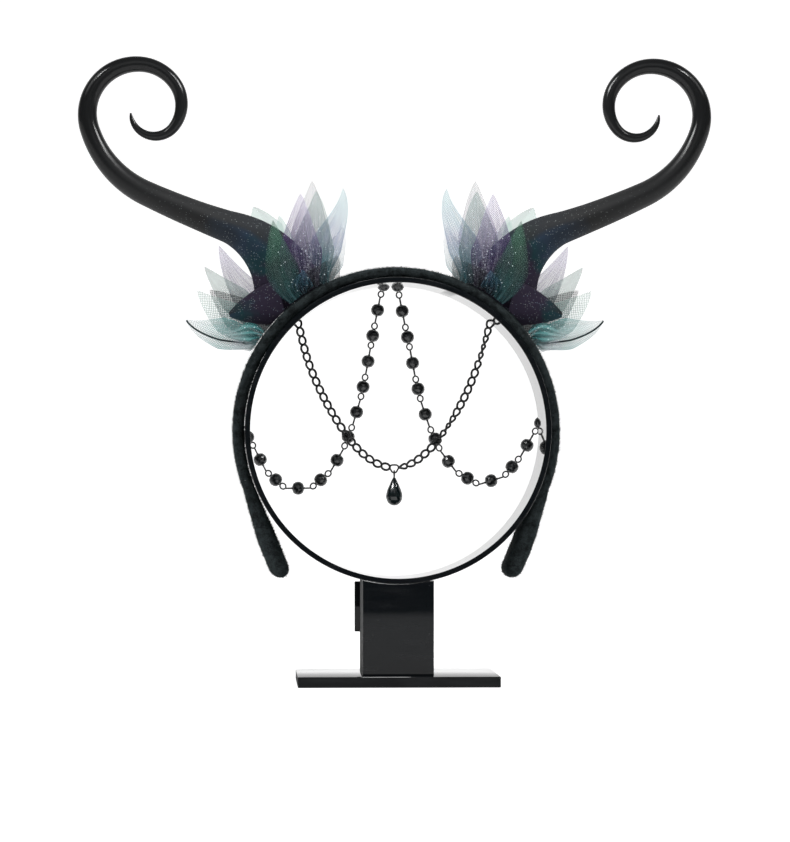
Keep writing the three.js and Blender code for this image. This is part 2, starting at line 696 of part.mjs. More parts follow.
// Middle of the centre link's lowest wire, where the bail hangs.
function pendantPivot() {
  return new THREE.Vector3(0, CURB_PLANE, RING_AXIS_HEIGHT - PENDANT_DROP + CENTRE_LINK_WIRE / 2);
}

// Bail and teardrop, fused into one body that hangs from the centre link.
function pendant() {
  const pivot = pendantPivot();
  const radius = (BAIL_DIAMETER - BAIL_WIRE) / 2;
  const bailCentre = pivot.z + CENTRE_LINK_WIRE / 2 + CLEARANCE + BAIL_WIRE / 2 - radius;
  const bail = wireRing(BAIL_DIAMETER, BAIL_WIRE);
  bail.rotateY(Math.PI / 2);
  bail.translate(0, CURB_PLANE, bailCentre);
  const profile = [
    new THREE.Vector2(0, 0),
    ...DROP_PROFILE.map((row) => new THREE.Vector2(row.radius * DROP_WIDTH, row.height * DROP_LENGTH)),
    new THREE.Vector2(0, DROP_LENGTH),
  ];
  const drop = new THREE.LatheGeometry(profile, LINK_SIDES);
  drop.rotateX(Math.PI / 2);
  drop.translate(0, CURB_PLANE, bailCentre - radius + BAIL_WIRE / 4 - DROP_LENGTH);
  return piece('pendant', toGeometry(toSolid(bail).add(toSolid(drop))), jet);
}

// Assembly

const headband = new THREE.Group();
headband.add(standBase(), standPost(), standRing(), standPlate(), velvetBand());

const tentacle = tentacleGeometry();
headband.add(piece('tentacle_left', tentacle, satin), piece('tentacle_right', mirrored(tentacle), satin));

PETALS.forEach((petal) => {
  const geometry = petalGeometry(petal);
  headband.add(piece(`petal_${petal.name}_left`, geometry, organza));
  headband.add(piece(`petal_${petal.name}_right`, mirrored(geometry), organza));
});

['left', 'right'].forEach((side) => {
  headband.add(beadString(side), curbChain(side));
});
headband.add(centreLink(), pendant());

export default headband;
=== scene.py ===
"""Looks for a tentacle headband on its black display stand, seen from behind. Metres, +Z up.

+X is the right of the picture and -Y is the side that the camera sees. Sizes below are millimetres
where a name or a docstring says so, and become metres in the meshes.
"""

import logging
import math
from dataclasses import dataclass, field
from enum import Enum
from functools import cache
from typing import Callable, Sequence

import bpy
import numpy as np
from mathutils import Matrix, Vector


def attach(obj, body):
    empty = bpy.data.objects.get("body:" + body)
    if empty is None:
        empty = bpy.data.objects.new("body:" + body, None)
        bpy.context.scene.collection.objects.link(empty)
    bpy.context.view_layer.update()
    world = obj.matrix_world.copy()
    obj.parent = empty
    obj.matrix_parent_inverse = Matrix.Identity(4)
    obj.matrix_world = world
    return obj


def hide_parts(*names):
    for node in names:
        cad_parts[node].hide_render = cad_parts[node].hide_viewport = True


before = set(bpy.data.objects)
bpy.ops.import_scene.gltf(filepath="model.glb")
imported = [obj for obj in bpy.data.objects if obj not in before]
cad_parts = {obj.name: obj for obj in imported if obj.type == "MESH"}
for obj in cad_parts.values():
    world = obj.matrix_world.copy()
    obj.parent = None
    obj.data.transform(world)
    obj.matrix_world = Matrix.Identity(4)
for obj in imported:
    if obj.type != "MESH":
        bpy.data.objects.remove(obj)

LOG = logging.getLogger("headband")
MM = 0.001
WHOLE = "headpiece"
SWINGING = "pendant_drop"
Colour = tuple[float, float, float]
Piece = bpy.types.Object
Finish = bpy.types.Material
Socket = bpy.types.NodeSocket


def metres(*values: float) -> Vector:
    """Returns a point given in millimetres as metres."""
    return Vector(values) * MM


def eased(values: np.ndarray, reach: int, least: float) -> np.ndarray:
    """Smooths a row of sizes over the steps within reach, and keeps them above the least.

    Args:
        values: the sizes.
        reach: steps to either side.
        least: the least size.

    Returns:
        The smoothed sizes.
    """
    window = np.hanning(2 * reach + 1)
    padded = np.pad(values, reach, mode="reflect", reflect_type="odd")
    return np.maximum(np.convolve(padded, window / window.sum(), mode="valid"), least)


class Side(Enum):
    """The two mirrored sides of the headband, with the sign of their X."""

    LEFT = -1
    RIGHT = 1

    @property
    def label(self) -> str:
        """The side's name as the solids spell it."""
        return self.name.lower()


@dataclass(frozen=True)
class Layout:
    """Places that the pieces share, in millimetres, as the solids have them."""

    ring_axis: float = 119.0
    ring_inner: float = 69.0
    ring_outer: float = 71.5
    ring_depth: float = 46.0
    clearance: float = 0.3
    band_width: float = 28.5
    band_thickness: float = 5.4
    band_setback: float = 0.5

    @property
    def far_rim(self) -> float:
        """Y of the ring's far rim."""
        return self.ring_depth / 2

    @property
    def band_inner(self) -> float:
        """Radius of the band's inner face."""
        return self.ring_outer + self.clearance

    @property
    def band_outer(self) -> float:
        """Radius of the band's outer face."""
        return self.band_inner + self.band_thickness

    @property
    def band_middle(self) -> float:
        """Y of the band's middle line."""
        return self.far_rim - self.band_setback - self.band_width / 2

    @property
    def seat(self) -> float:
        """Radius at which the tentacles and petals sit."""
        return self.band_outer + self.clearance

    def polar(self, angle: float, radius: float, depth: float) -> np.ndarray:
        """Returns the point at an angle in degrees and a distance about the ring's axis."""
        turn = math.radians(angle)
        return np.array([radius * math.cos(turn), depth, self.ring_axis + radius * math.sin(turn)])


PLAN = Layout()


class Bench:
    """Steps in bpy.ops that every maker uses."""

    @staticmethod
    def clear() -> None:
        """Goes to object mode and deselects everything."""
        if bpy.context.object and bpy.context.object.mode != "OBJECT":
            bpy.ops.object.mode_set(mode="OBJECT")
        bpy.ops.object.select_all(action="DESELECT")

    @staticmethod
    def pick(*objects: Piece) -> None:
        """Selects objects, the first of them active.

        Args:
            objects: the objects, one or more.
        """
        Bench.clear()
        for each in objects:
            each.select_set(True)
        bpy.context.view_layer.objects.active = objects[0]

    @staticmethod
    def claim(name: str) -> Piece:
        """Names the active object and its data, and returns it.

        Args:
            name: the new name.

        Returns:
            The active object.
        """
        made = bpy.context.active_object
        made.name = name
        made.data.name = name
        return made

    @staticmethod
    def modify(piece: Piece, kind: str, **settings: object) -> None:
        """Adds a modifier with the given settings and applies it.

        Args:
            piece: the object.
            kind: the modifier's type.
            settings: its values, by their names.
        """
        Bench.pick(piece)
        modifier = piece.modifiers.new(kind.title(), kind)
        for key, value in settings.items():
            setattr(modifier, key, value)
        bpy.ops.object.modifier_apply(modifier=modifier.name)

    @staticmethod
    def settle(piece: Piece) -> None:
        """Puts the piece's place into its mesh."""
        Bench.pick(piece)
        bpy.ops.object.transform_apply(location=True, rotation=True, scale=True)

    @staticmethod
    def bevel(piece: Piece, width: float, segments: int, angle: float = 30.0) -> None:
        """Rounds the edges sharper than an angle in degrees, with the width in metres.

        Args:
            piece: the object.
            width: width of the bevel, in metres.
            segments: faces across it.
            angle: the least angle, in degrees.
        """
        limit = math.radians(angle)
        Bench.modify(
            piece, "BEVEL", width=width, segments=segments, limit_method="ANGLE", angle_limit=limit
        )

    @staticmethod
    def block(name: str, size: Sequence[float], centre: Vector) -> Piece:
        """Makes a block of a size in millimetres about a centre in metres.

        Args:
            name: name of the new object.
            size: its sides, in millimetres.
            centre: its centre, in metres.

        Returns:
            The block.
        """
        Bench.clear()
        bpy.ops.mesh.primitive_cube_add(size=1, location=centre, scale=metres(*size))
        made = Bench.claim(name)
        Bench.settle(made)
        return made

    @staticmethod
    def drum(
        name: str, radius: float, depth: float, y: float = 0, vertices: int = 180, fill: str = "NGON"
    ) -> Piece:
        """Makes a drum about the ring's axis, with sizes in millimetres.

        Args:
            name: name of the new object.
            radius: radius of the drum.
            depth: length along Y.
            y: its middle's Y.
            vertices: corners round it.
            fill: how its ends are closed.

        Returns:
            The drum.
        """
        Bench.clear()
        bpy.ops.mesh.primitive_cylinder_add(
            vertices=vertices,
            radius=radius * MM,
            depth=depth * MM,
            end_fill_type=fill,
            location=metres(0, y, PLAN.ring_axis),
            rotation=(math.pi / 2, 0, 0),
        )
        made = Bench.claim(name)
        Bench.settle(made)
        return made

    @staticmethod
    def smooth(piece: Piece, angle: float) -> None:
        """Shades the piece smooth up to an angle in degrees."""
        Bench.pick(piece)
        bpy.ops.object.shade_smooth_by_angle(angle=math.radians(angle))

    @staticmethod
    def weld(piece: Piece, distance: float = 1e-6) -> None:
        """Merges doubled points and turns the faces outwards.

        Args:
            piece: the object.
            distance: how near two points are one, in metres.
        """
        Bench.pick(piece)
        bpy.ops.object.mode_set(mode="EDIT")
        bpy.ops.mesh.select_all(action="SELECT")
        bpy.ops.mesh.remove_doubles(threshold=distance)
        bpy.ops.mesh.normals_make_consistent(inside=False)
        bpy.ops.object.mode_set(mode="OBJECT")

    @staticmethod
    def join(pieces: Sequence[Piece], name: str) -> Piece:
        """Joins pieces into one object, and returns it under its name.

        Args:
            pieces: the objects.
            name: name of the joined one.

        Returns:
            The joined object.
        """
        Bench.pick(*pieces)
        if len(pieces) > 1:
            bpy.ops.object.join()
        return Bench.claim(name)

    @staticmethod
    def copy(piece: Piece, place: Matrix) -> Piece:
        """Returns a copy with a mesh of its own, placed in that mesh.

        Args:
            piece: the object.
            place: where the copy goes.

        Returns:
            The copy.
        """
        twin = piece.copy()
        twin.data = piece.data.copy()
        twin.data.transform(place)
        bpy.context.collection.objects.link(twin)
        return twin

    @staticmethod
    def mirrored(piece: Piece, name: str) -> Piece:
        """Returns a copy mirrored across X = 0, with its faces turned outwards again.

        Args:
            piece: the object.
            name: name of the copy.

        Returns:
            The copy.
        """
        twin = Bench.copy(piece, Matrix.Scale(-1, 4, Vector((1, 0, 0))))
        twin.data.flip_normals()
        twin.name = name
        twin.data.name = name
        return twin

    @staticmethod
    def carve(piece: Piece, tool: Piece, operation: str) -> None:
        """Joins or cuts the piece with a tool object, which is then removed."""
        Bench.modify(piece, "BOOLEAN", object=tool, operation=operation, solver="EXACT")
        bpy.data.objects.remove(tool, do_unlink=True)

    @staticmethod
    def aim(piece: Piece, target: Vector) -> None:
        """Turns a light or camera to face a point."""
        piece.rotation_euler = (target - piece.location).to_track_quat("-Z", "Y").to_euler()

    @staticmethod
    def bent_grid(
        name: str, along: int, around: int, place: Callable[[np.ndarray, np.ndarray], np.ndarray]
    ) -> Piece:
        """Adds a grid and bends it to a surface.

        Args:
            name: name of the new object.
            along: faces along the surface.
            around: faces across or around it.
            place: gives the points in millimetres for the shares along and around.

        Returns:
            The new object, with the grid's own UV map.
        """
        Bench.clear()
        bpy.ops.mesh.primitive_grid_add(x_subdivisions=along, y_subdivisions=around, size=1)
        made = Bench.claim(name)
        flat = np.empty(3 * len(made.data.vertices))
        made.data.vertices.foreach_get("co", flat)
        flat = flat.reshape(-1, 3)
        bent = place(flat[:, 0] + 0.5, flat[:, 1] + 0.5) * MM
        made.data.vertices.foreach_set("co", bent.ravel())
        made.data.update()
        return made

    @staticmethod
    def close_tube(piece: Piece) -> None:
        """Closes a grid that was bent to a tube: its seam is merged and its ends are filled.

        Args:
            piece: the object.
        """
        Bench.weld(piece)
        bpy.ops.object.mode_set(mode="EDIT")
        bpy.ops.mesh.select_all(action="DESELECT")
        bpy.ops.mesh.select_non_manifold(extend=False)
        bpy.ops.mesh.fill_holes(sides=0)
        bpy.ops.mesh.select_all(action="SELECT")
        bpy.ops.mesh.normals_make_consistent(inside=False)
        bpy.ops.object.mode_set(mode="OBJECT")

    @staticmethod
    def wire_loop(name: str, length: float, width: float, wire: float, rise: float = 0.0) -> Piece:
        """Makes an oval wire loop in the XY plane from a circle curve.

        Args:
            name: name of the new object.
            length: outer length along X, in millimetres.
            width: outer width along Y, in millimetres.
            wire: wire diameter, in millimetres.
            rise: how far the loop's quarters leave the plane, as a twisted link's do.

        Returns:
            The loop as a mesh at the origin.
        """
        Bench.clear()
        bpy.ops.curve.primitive_bezier_circle_add(radius=1)
        bpy.context.active_object.data.resolution_u = 6
        bpy.ops.object.convert(target="MESH")
        loop = Bench.claim(name)
        ring = np.array([v.co for v in loop.data.vertices])
        turn = np.sort(np.arctan2(ring[:, 1], ring[:, 0]))
        x, y = (length - wire) / 2 * np.cos(turn), (width - wire) / 2 * np.sin(turn)
        line = np.stack([x, y, rise * np.sin(2 * turn)], axis=1)
        bpy.data.objects.remove(loop, do_unlink=True)
        return Bench.swept(name, line, wire, closed=True, sides=8)

    @staticmethod
    def swept(
        name: str, line: np.ndarray, wire: float, closed: bool = False, sides: int = 8
    ) -> Piece:
        """Sweeps a round wire along a line of points in millimetres, and returns it as a mesh.

        Args:
            name: name of the new object.
            line: the points.
            wire: wire diameter, in millimetres.
            closed: whether the line is a ring.
            sides: faces round the wire.

        Returns:
            The wire's object.
        """
        ahead = np.roll(line, -1, axis=0) - np.roll(line, 1, axis=0)
        if not closed:
            ahead[0], ahead[-1] = line[1] - line[0], line[-1] - line[-2]
        ahead /= np.linalg.norm(ahead, axis=1)[:, None]
        up = np.array([0.0, 0.0, 1.0])
        if np.abs(ahead @ up).max() > 0.95:
            up = np.array([0.0, 1.0, 0.0])
        side = np.cross(ahead, up)
        side /= np.linalg.norm(side, axis=1)[:, None]
        lift = np.cross(side, ahead)
        count = len(line) if closed else len(line) - 1

        def place(u: np.ndarray, v: np.ndarray) -> np.ndarray:
            """Puts the grid's points round the line.

            Args:
                u: shares along the grid.
                v: shares round or across it.

            Returns:
                The points, in millimetres.
            """
            index = np.rint(u * count).astype(int) % len(line)
            turn = 2 * np.pi * v
            return line[index] + wire / 2 * (
                np.cos(turn)[:, None] * side[index] + np.sin(turn)[:, None] * lift[index]
            )

        made = Bench.bent_grid(name, count, sides, place)
        if closed:
            Bench.weld(made)
        else:
            Bench.close_tube(made)
        return made

    @staticmethod
    def hand_over(
        piece: Piece, finish: Finish | None, slot: str, nodes: Sequence[str] = (), body: str = WHOLE
    ) -> None:
        """Gives a piece its finish, unless it has its own, its body and the solids it stands for.

        Args:
            piece: the object.
            finish: its material, or None where it has its own.
            slot: its material slot; not used.
            nodes: the solids that it replaces.
            body: the body that it rides on.
        """
        if finish:
            piece.data.materials.clear()
            piece.data.materials.append(finish)
        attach(piece, body)
        if nodes:
            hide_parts(*nodes)
        LOG.info("%s: %d faces, on %s", piece.name, len(piece.data.polygons), body)


class NodeSheet:
    """A material's node tree, with short calls for the nodes that the finishes use."""

    def __init__(self, name: str) -> None:
        """Starts a material with a principled shader."""
        self.material = bpy.data.materials.new(name)
        self.material.use_nodes = True
        self.tree = self.material.node_tree
        self.shader = next(n for n in self.tree.nodes if n.type == "BSDF_PRINCIPLED")
        self.coordinates = self.tree.nodes.new("ShaderNodeTexCoord")

    def fixed(self, **values: object) -> None:
        """Sets shader inputs that are the same all over, by their names with underscores.

        Args:
            values: numbers and colours by input.
        """
        for name, value in values.items():
            self.feed(self.shader.inputs[name.replace("_", " ")], value)

    def link(self, source: Socket, target: object) -> None:
        """Links a socket to another, or to the shader's input of that name."""
        end = self.shader.inputs[target] if isinstance(target, str) else target
        self.tree.links.new(source, end)

    def place(self) -> Socket:
        """Returns the piece's own coordinates."""
        return self.coordinates.outputs["Object"]

    def feed(self, socket: Socket, value: object) -> None:
        """Links a socket's source to it, or sets its number or colour.

        Args:
            socket: the input.
            value: an output socket, a number or a colour.
        """
        if isinstance(value, Socket):
            self.link(value, socket)
        else:
            flat = isinstance(value, tuple) and socket.type == "RGBA"
            socket.default_value = (*value, 1.0) if flat else value

    def node(self, kind: str, **inputs: object) -> bpy.types.Node:
        """Adds a node, with its inputs by name.

        Args:
            kind: the node's type, without its prefix.
            inputs: sockets or values.

        Returns:
            The node.
        """
        made = self.tree.nodes.new(f"ShaderNode{kind}")
        for name, value in inputs.items():
            self.feed(made.inputs[name], value)
        return made

    def uv(self, name: str = "UVMap") -> Socket:
        """Returns the coordinates of one of the piece's UV maps."""
        node = self.node("UVMap")
        node.uv_map = name
        return node.outputs["UV"]

    def stretched(self, source: Socket, scale: Colour, turn: float = 0.0) -> Socket:
        """Returns coordinates scaled, and turned about Z by degrees."""
        turned = (0, 0, math.radians(turn))
        return self.node("Mapping", Vector=source, Scale=scale, Rotation=turned).outputs["Vector"]

    def noise(self, source: Socket, scale: float, detail: float = 3.0, rough: float = 0.5) -> Socket:
        """Returns noise between 0 and 1."""
        clouds = self.node("TexNoise", Vector=source, Scale=scale, Detail=detail, Roughness=rough)
        return clouds.outputs["Fac"]

    def specks(self, source: Socket, scale: float, size: float, share: float) -> Socket:
        """Returns 1 on small round specks in a share of the cells, and 0 between them.

        Args:
            source: the coordinates.
            scale: cells a unit.
            size: reach of a speck in its cell.
            share: share of the cells that hold one.

        Returns:
            The mask.
        """
        cells = self.node("TexVoronoi", Vector=source, Scale=scale)
        near = self.math("LESS_THAN", cells.outputs["Distance"], size)
        drawn = self.node("SeparateColor", Color=cells.outputs["Color"]).outputs["Red"]
        return self.math("MULTIPLY", near, self.math("LESS_THAN", drawn, share))

    def split(self, source: Socket) -> tuple[Socket, Socket]:
        """Returns the first two coordinates of a vector."""
        node = self.node("SeparateXYZ", Vector=source)
        return node.outputs["X"], node.outputs["Y"]

    def math(self, operation: str, *values: object) -> Socket:
        """Returns a Math node's result for sockets or numbers.

        Args:
            operation: the node's operation.
            values: its inputs.

        Returns:
            The result.
        """
        node = self.node("Math")
        node.operation = operation
        for socket, value in zip(node.inputs, values):
            self.feed(socket, value)
        return node.outputs["Value"]

    def product(self, first: object, *others: object) -> Socket:
        """Returns sockets or numbers multiplied.

        Args:
            first: a socket.
            others: sockets or numbers.

        Returns:
            The product.
        """
        for other in others:
            first = self.math("MULTIPLY", first, other)
        return first

    def ramp(self, source: Socket, *stops: tuple[float, object]) -> Socket:
        """Returns a ramp's colour, for stops of a place and a colour or a grey level.

        Args:
            source: the share along the ramp.
            stops: places and their colours.

        Returns:
            The colour.
        """
        node = self.node("ValToRGB", Fac=source)
        elements = node.color_ramp.elements
        while len(elements) < len(stops):
            elements.new(0.5)
        for element, (at, _) in zip(elements, stops):
            element.position = at
        for element, (_, value) in zip(elements, stops):
            element.color = (*value, 1.0) if isinstance(value, tuple) else (value, value, value, 1.0)
        return node.outputs["Color"]

    def blend(self, share: object, first: object, second: object) -> Socket:
        """Returns a mix of two colours.

        Args:
            share: the second colour's share.
            first: the first colour.
            second: the second colour.

        Returns:
            The mix.
        """
        node = self.node("Mix")
        node.data_type = "RGBA"
        for key, value in ((0, share), (6, first), (7, second)):
            self.feed(node.inputs[key], value)
        return node.outputs[2]

    def bump(self, height: Socket, strength: float, distance: float) -> None:
        """Bumps the shader's normal, with the distance in metres."""
        bumped = self.node("Bump", Height=height, Strength=strength, Distance=distance)
        self.link(bumped.outputs["Normal"], "Normal")


@dataclass(frozen=True)
class Acrylic:
    """Glossy black acrylic sheet, with faint wipe marks and dust, or its sawn edge."""

    name: str = "black_acrylic"
    colour: Colour = (0.0025, 0.0035, 0.0045)
    wiped: Colour = (0.006, 0.007, 0.008)
    rough: float = 0.03
    gloss: float = 0.2

    def material(self) -> Finish:
        """Builds the material.

        Returns:
            The finished material.
        """
        sheet = NodeSheet(self.name)
        sheet.fixed(IOR=1.49, Specular_IOR_Level=self.gloss)
        wipes = sheet.noise(sheet.stretched(sheet.place(), (40, 40, 240)), 1.0, 4.0)
        dust = sheet.specks(sheet.place(), 420, 0.09, 0.12)
        base = sheet.blend(sheet.ramp(wipes, (0.45, 0.0), (0.75, 1.0)), self.colour, self.wiped)
        sheet.link(sheet.blend(dust, base, (0.03, 0.03, 0.03)), "Base Color")
        sheet.link(sheet.ramp(wipes, (0.4, self.rough), (0.8, self.rough + 0.06)), "Roughness")
        return sheet.material


@dataclass(frozen=True)
class Velvet:
    """Short-pile velvet, near black with a teal cast."""

    name: str = "dark_velvet"
    valley: Colour = (0.0035, 0.0050, 0.0055)
    crest: Colour = (0.028, 0.036, 0.038)
    pile: Colour = (0.10, 0.16, 0.17)
    lint: Colour = (0.12, 0.14, 0.14)

    def material(self) -> Finish:
        """Builds the material.

        Returns:
            The finished material.
        """
        sheet = NodeSheet(self.name)
        sheet.fixed(Roughness=0.95, Specular_IOR_Level=0.15, Sheen_Weight=0.12, Sheen_Roughness=0.45)
        sheet.fixed(Sheen_Tint=self.pile)
        crushed = sheet.noise(sheet.place(), 300, 4.0, 0.7)
        pile = sheet.noise(sheet.place(), 2600, 2.0, 0.7)
        mixed = sheet.math("MULTIPLY_ADD", crushed, 0.6, sheet.product(pile, 0.4))
        lint = sheet.specks(sheet.place(), 420, 0.1, 0.05)
        cloth = sheet.ramp(mixed, (0.40, self.valley), (0.60, self.crest))
        sheet.link(sheet.blend(lint, cloth, self.lint), "Base Color")
        sheet.bump(mixed, 1.0, 0.0012)
        return sheet.material


@dataclass(frozen=True)
class TentacleSkin:
    """Black satin with a soft gloss; dark dyed net wraps the root in navy, plum and teal."""

    black: Colour = (0.0080, 0.0084, 0.0088)
    # ridge is a painted sheen: the lighter colour painted on the upper half of the lower stretch, where
    # the cloth catches the light
    ridge: Colour = (0.013, 0.0135, 0.014)
    plum: Colour = (0.014, 0.010, 0.022)
    navy: Colour = (0.010, 0.020, 0.036)
    teal: Colour = (0.003, 0.022, 0.027)
    glint: Colour = (0.20, 0.26, 0.32)
    dust: Colour = (0.22, 0.24, 0.24)

    def material(self) -> Finish:
        """Builds the material.

        Returns:
            The finished material.
        """
        sheet = NodeSheet("black_satin")
        sheet.fixed(IOR=1.5, Specular_IOR_Level=0.17)
        along, around = sheet.split(sheet.uv())
        cloudy = sheet.noise(sheet.place(), 60, 3.0)
        drawn = sheet.math("MULTIPLY_ADD", sheet.math("SUBTRACT", cloudy, 0.5), 0.22, along)
        dye = sheet.ramp(drawn, (0.095, self.plum), (0.125, self.teal), (0.17, self.navy))
        wobble = sheet.math("MULTIPLY_ADD", cloudy, 0.1, along)
        share = sheet.ramp(wobble, (0.22, 1.0), (0.31, 0.0))
        above = sheet.ramp(along, (0.10, 0.0), (0.15, 0.85))
        bare = sheet.product(self.upper(sheet, around), above)
        share = sheet.product(share, sheet.math("SUBTRACT", 1.0, bare))
        # Painted light: the upper half of the lower stretch is painted lighter, a painted sheen that
        # fades out along the horn.
        lit = sheet.product(sheet.ramp(along, (0.24, 0.8), (0.46, 0.0)), self.upper(sheet, around))
        colour = sheet.blend(share, sheet.blend(lit, self.black, self.ridge), dye)
        fuzz = sheet.specks(sheet.place(), 1300, 0.2, 0.3)
        dusty = sheet.product(fuzz, sheet.ramp(along, (0.2, 0.8), (0.42, 0.0)))
        glints = sheet.product(sheet.specks(sheet.place(), 1100, 0.2, 0.3), share, 0.6)
        colour = sheet.blend(glints, colour, self.glint)
        sheet.link(sheet.blend(dusty, colour, self.dust), "Base Color")
        weave = sheet.noise(sheet.place(), 1800, 2.0, 0.6)
        sheet.link(sheet.ramp(along, (0.1, 0.85), (0.36, 0.52), (0.54, 0.15)), "Roughness")
        creases = sheet.noise(sheet.stretched(sheet.uv(), (14, 3, 1)), 1.0, 3.0)
        height = sheet.math("MULTIPLY_ADD", creases, 0.7, sheet.product(weave, 0.12))
        sheet.bump(height, 0.2, 0.0012)
        return sheet.material

    def upper(self, sheet: NodeSheet, around: Socket) -> Socket:
        """Returns 1 on the upper half of the lower stretch, whose cloth catches more light."""
        wave = sheet.math("COSINE", sheet.product(around, 2 * math.pi))
        return sheet.ramp(sheet.math("MULTIPLY_ADD", wave, -0.5, 0.5), (0.5, 0.0), (0.62, 1.0))


@dataclass(frozen=True)
class Organza:
    """Dyed organza: a fine net whose colour and cover fade from the root to the tip."""

    name: str
    root: Colour
    middle: Colour
    tip: Colour
    cover: Colour = (0.97, 0.86, 0.58)
    net: float = 0.35
    cell: float = 0.8
    ribs: float = 0.3
    # The next two set the painted highlights along the pleats: their strength, and how much more one
    # side of the petal gets.
    highlight_strength: float = 0.25
    light_side: float = 0.5
    sparkle: float = 0.2
    fade: float = 0.0
    dots: bool = False
    # Colour of the painted highlights along the pleats.
    painted_pleat_highlight: Colour = (0.50, 0.52, 0.58)
    glint: Colour = (0.62, 0.70, 0.74)

    def material(self) -> Finish:
        """Builds the material.

        Returns:
            The finished material.
        """
        sheet = NodeSheet(self.name)
        sheet.fixed(Roughness=0.55, Specular_IOR_Level=0.25, Sheen_Weight=0.1)
        along, across = sheet.split(sheet.uv())
        cloudy = sheet.noise(sheet.place(), 95, 3.0)
        faded = sheet.math("MULTIPLY_ADD", sheet.math("SUBTRACT", cloudy, 0.5), 0.35, along)
        colour = sheet.ramp(faded, (0.10, self.root), (0.46, self.middle), (0.84, self.tip))
        cover = sheet.ramp(faded, (0.15, self.cover[0]), (0.5, self.cover[1]), (0.88, self.cover[2]))
        threads = self.threads(sheet)
        ribs = sheet.noise(sheet.stretched(sheet.uv(), (1.3, 22, 1)), 1.0, 3.0, 0.65)
        ribbed = sheet.ramp(ribs, (0.40, 1.0 - self.ribs), (0.58, 1.0))
        broken = sheet.ramp(sheet.noise(sheet.uv("Weave"), 0.9, 4.0, 0.8), (0.44, 0.0), (0.6, 1.0))
        # Painted highlight: pale streaks along the pleats' ribs, broken up and stronger on one side of
        # the petal, for light caught by the pleats.
        sided = sheet.ramp(across, (0.1, self.light_side), (0.9, 1 - self.light_side))
        pale = sheet.product(sheet.ramp(ribs, (0.48, 0.0), (0.62, self.highlight_strength)), broken, sided)
        colour = sheet.blend(pale, colour, self.painted_pleat_highlight)
        edge = sheet.math("ABSOLUTE", sheet.math("SUBTRACT", across, 0.5))
        hem = sheet.math("GREATER_THAN", edge, 0.482 + self.fade)
        cover = sheet.product(cover, sheet.ramp(edge, (0.28, 1.0), (0.5, 1.0 - self.fade)))
        glints = sheet.specks(sheet.uv("Weave"), 0.95, 0.2, self.sparkle)
        sheet.link(sheet.blend(glints, colour, self.glint), "Base Color")
        solid = sheet.product(cover, threads, ribbed)
        solid = sheet.math("MAXIMUM", solid, sheet.product(hem, cover, 0.98))
        sheet.link(sheet.math("MAXIMUM", solid, sheet.product(glints, 0.85)), "Alpha")
        sheet.bump(threads, 0.2, 0.0001)
        return sheet.material

    def threads(self, sheet: NodeSheet) -> Socket:
        """Returns 1 on the net's threads and less in its cells, on coordinates in millimetres.

        Args:
            sheet: the material's nodes.

        Returns:
            The threads' cover.
        """
        waves = []
        drift = sheet.noise(sheet.uv("Weave"), 0.35, 2.0)
        for turn in (45, -45):
            first, second = sheet.split(sheet.stretched(sheet.uv("Weave"), (1, 1, 1), turn))
            shifted = sheet.math("MULTIPLY_ADD", drift, 0.9, first)
            waves.append(sheet.math("COSINE", sheet.product(shifted, 2 * math.pi / self.cell)))
        if self.dots:
            crossing = sheet.math("MULTIPLY_ADD", sheet.math("MINIMUM", *waves), 0.5, 0.5)
            return sheet.ramp(crossing, (0.30, 1.0 - self.net), (0.42, 1.0))
        crossing = sheet.math("MAXIMUM", *waves)
        return sheet.ramp(crossing, (0.1, 1.0 - self.net), (0.8, 1.0))


@dataclass(frozen=True)
class DarkMetal:
    """Blackened metal wire, a little lighter and smoother where it is rubbed."""

    name: str
    dark: Colour = (0.008, 0.0085, 0.009)
    rubbed: Colour = (0.040, 0.041, 0.043)
    rough: float = 0.34

    def material(self) -> Finish:
        """Builds the material.

        Returns:
            The finished material.
        """
        sheet = NodeSheet(self.name)
        sheet.fixed(IOR=1.5, Specular_IOR_Level=0.3)
        worn = sheet.noise(sheet.place(), 900, 3.0)
        sheet.link(sheet.ramp(worn, (0.42, self.dark), (0.7, self.rubbed)), "Base Color")
        sheet.link(sheet.ramp(worn, (0.35, self.rough + 0.12), (0.7, self.rough - 0.08)), "Roughness")
        sheet.bump(worn, 0.15, 0.00008)
        return sheet.material


@dataclass(frozen=True)
class JetGlass:
    """Polished black glass of the beads and the drop, with a faint mottle."""

    name: str
    deep: Colour = (0.006, 0.007, 0.008)
    mottle: Colour = (0.050, 0.054, 0.056)
    scale: float = 520.0
    rough: float = 0.08

    def material(self) -> Finish:
        """Builds the material.

        Returns:
            The finished material.
        """
        sheet = NodeSheet(self.name)
        sheet.fixed(IOR=1.5, Specular_IOR_Level=0.5)
        clouds = sheet.noise(sheet.place(), self.scale, 4.0, 0.6)
        sheet.link(sheet.ramp(clouds, (0.42, self.deep), (0.68, self.mottle)), "Base Color")
        sheet.link(sheet.ramp(clouds, (0.3, self.rough), (0.7, self.rough + 0.1)), "Roughness")
        sheet.bump(clouds, 0.05, 0.0001)
        return sheet.material


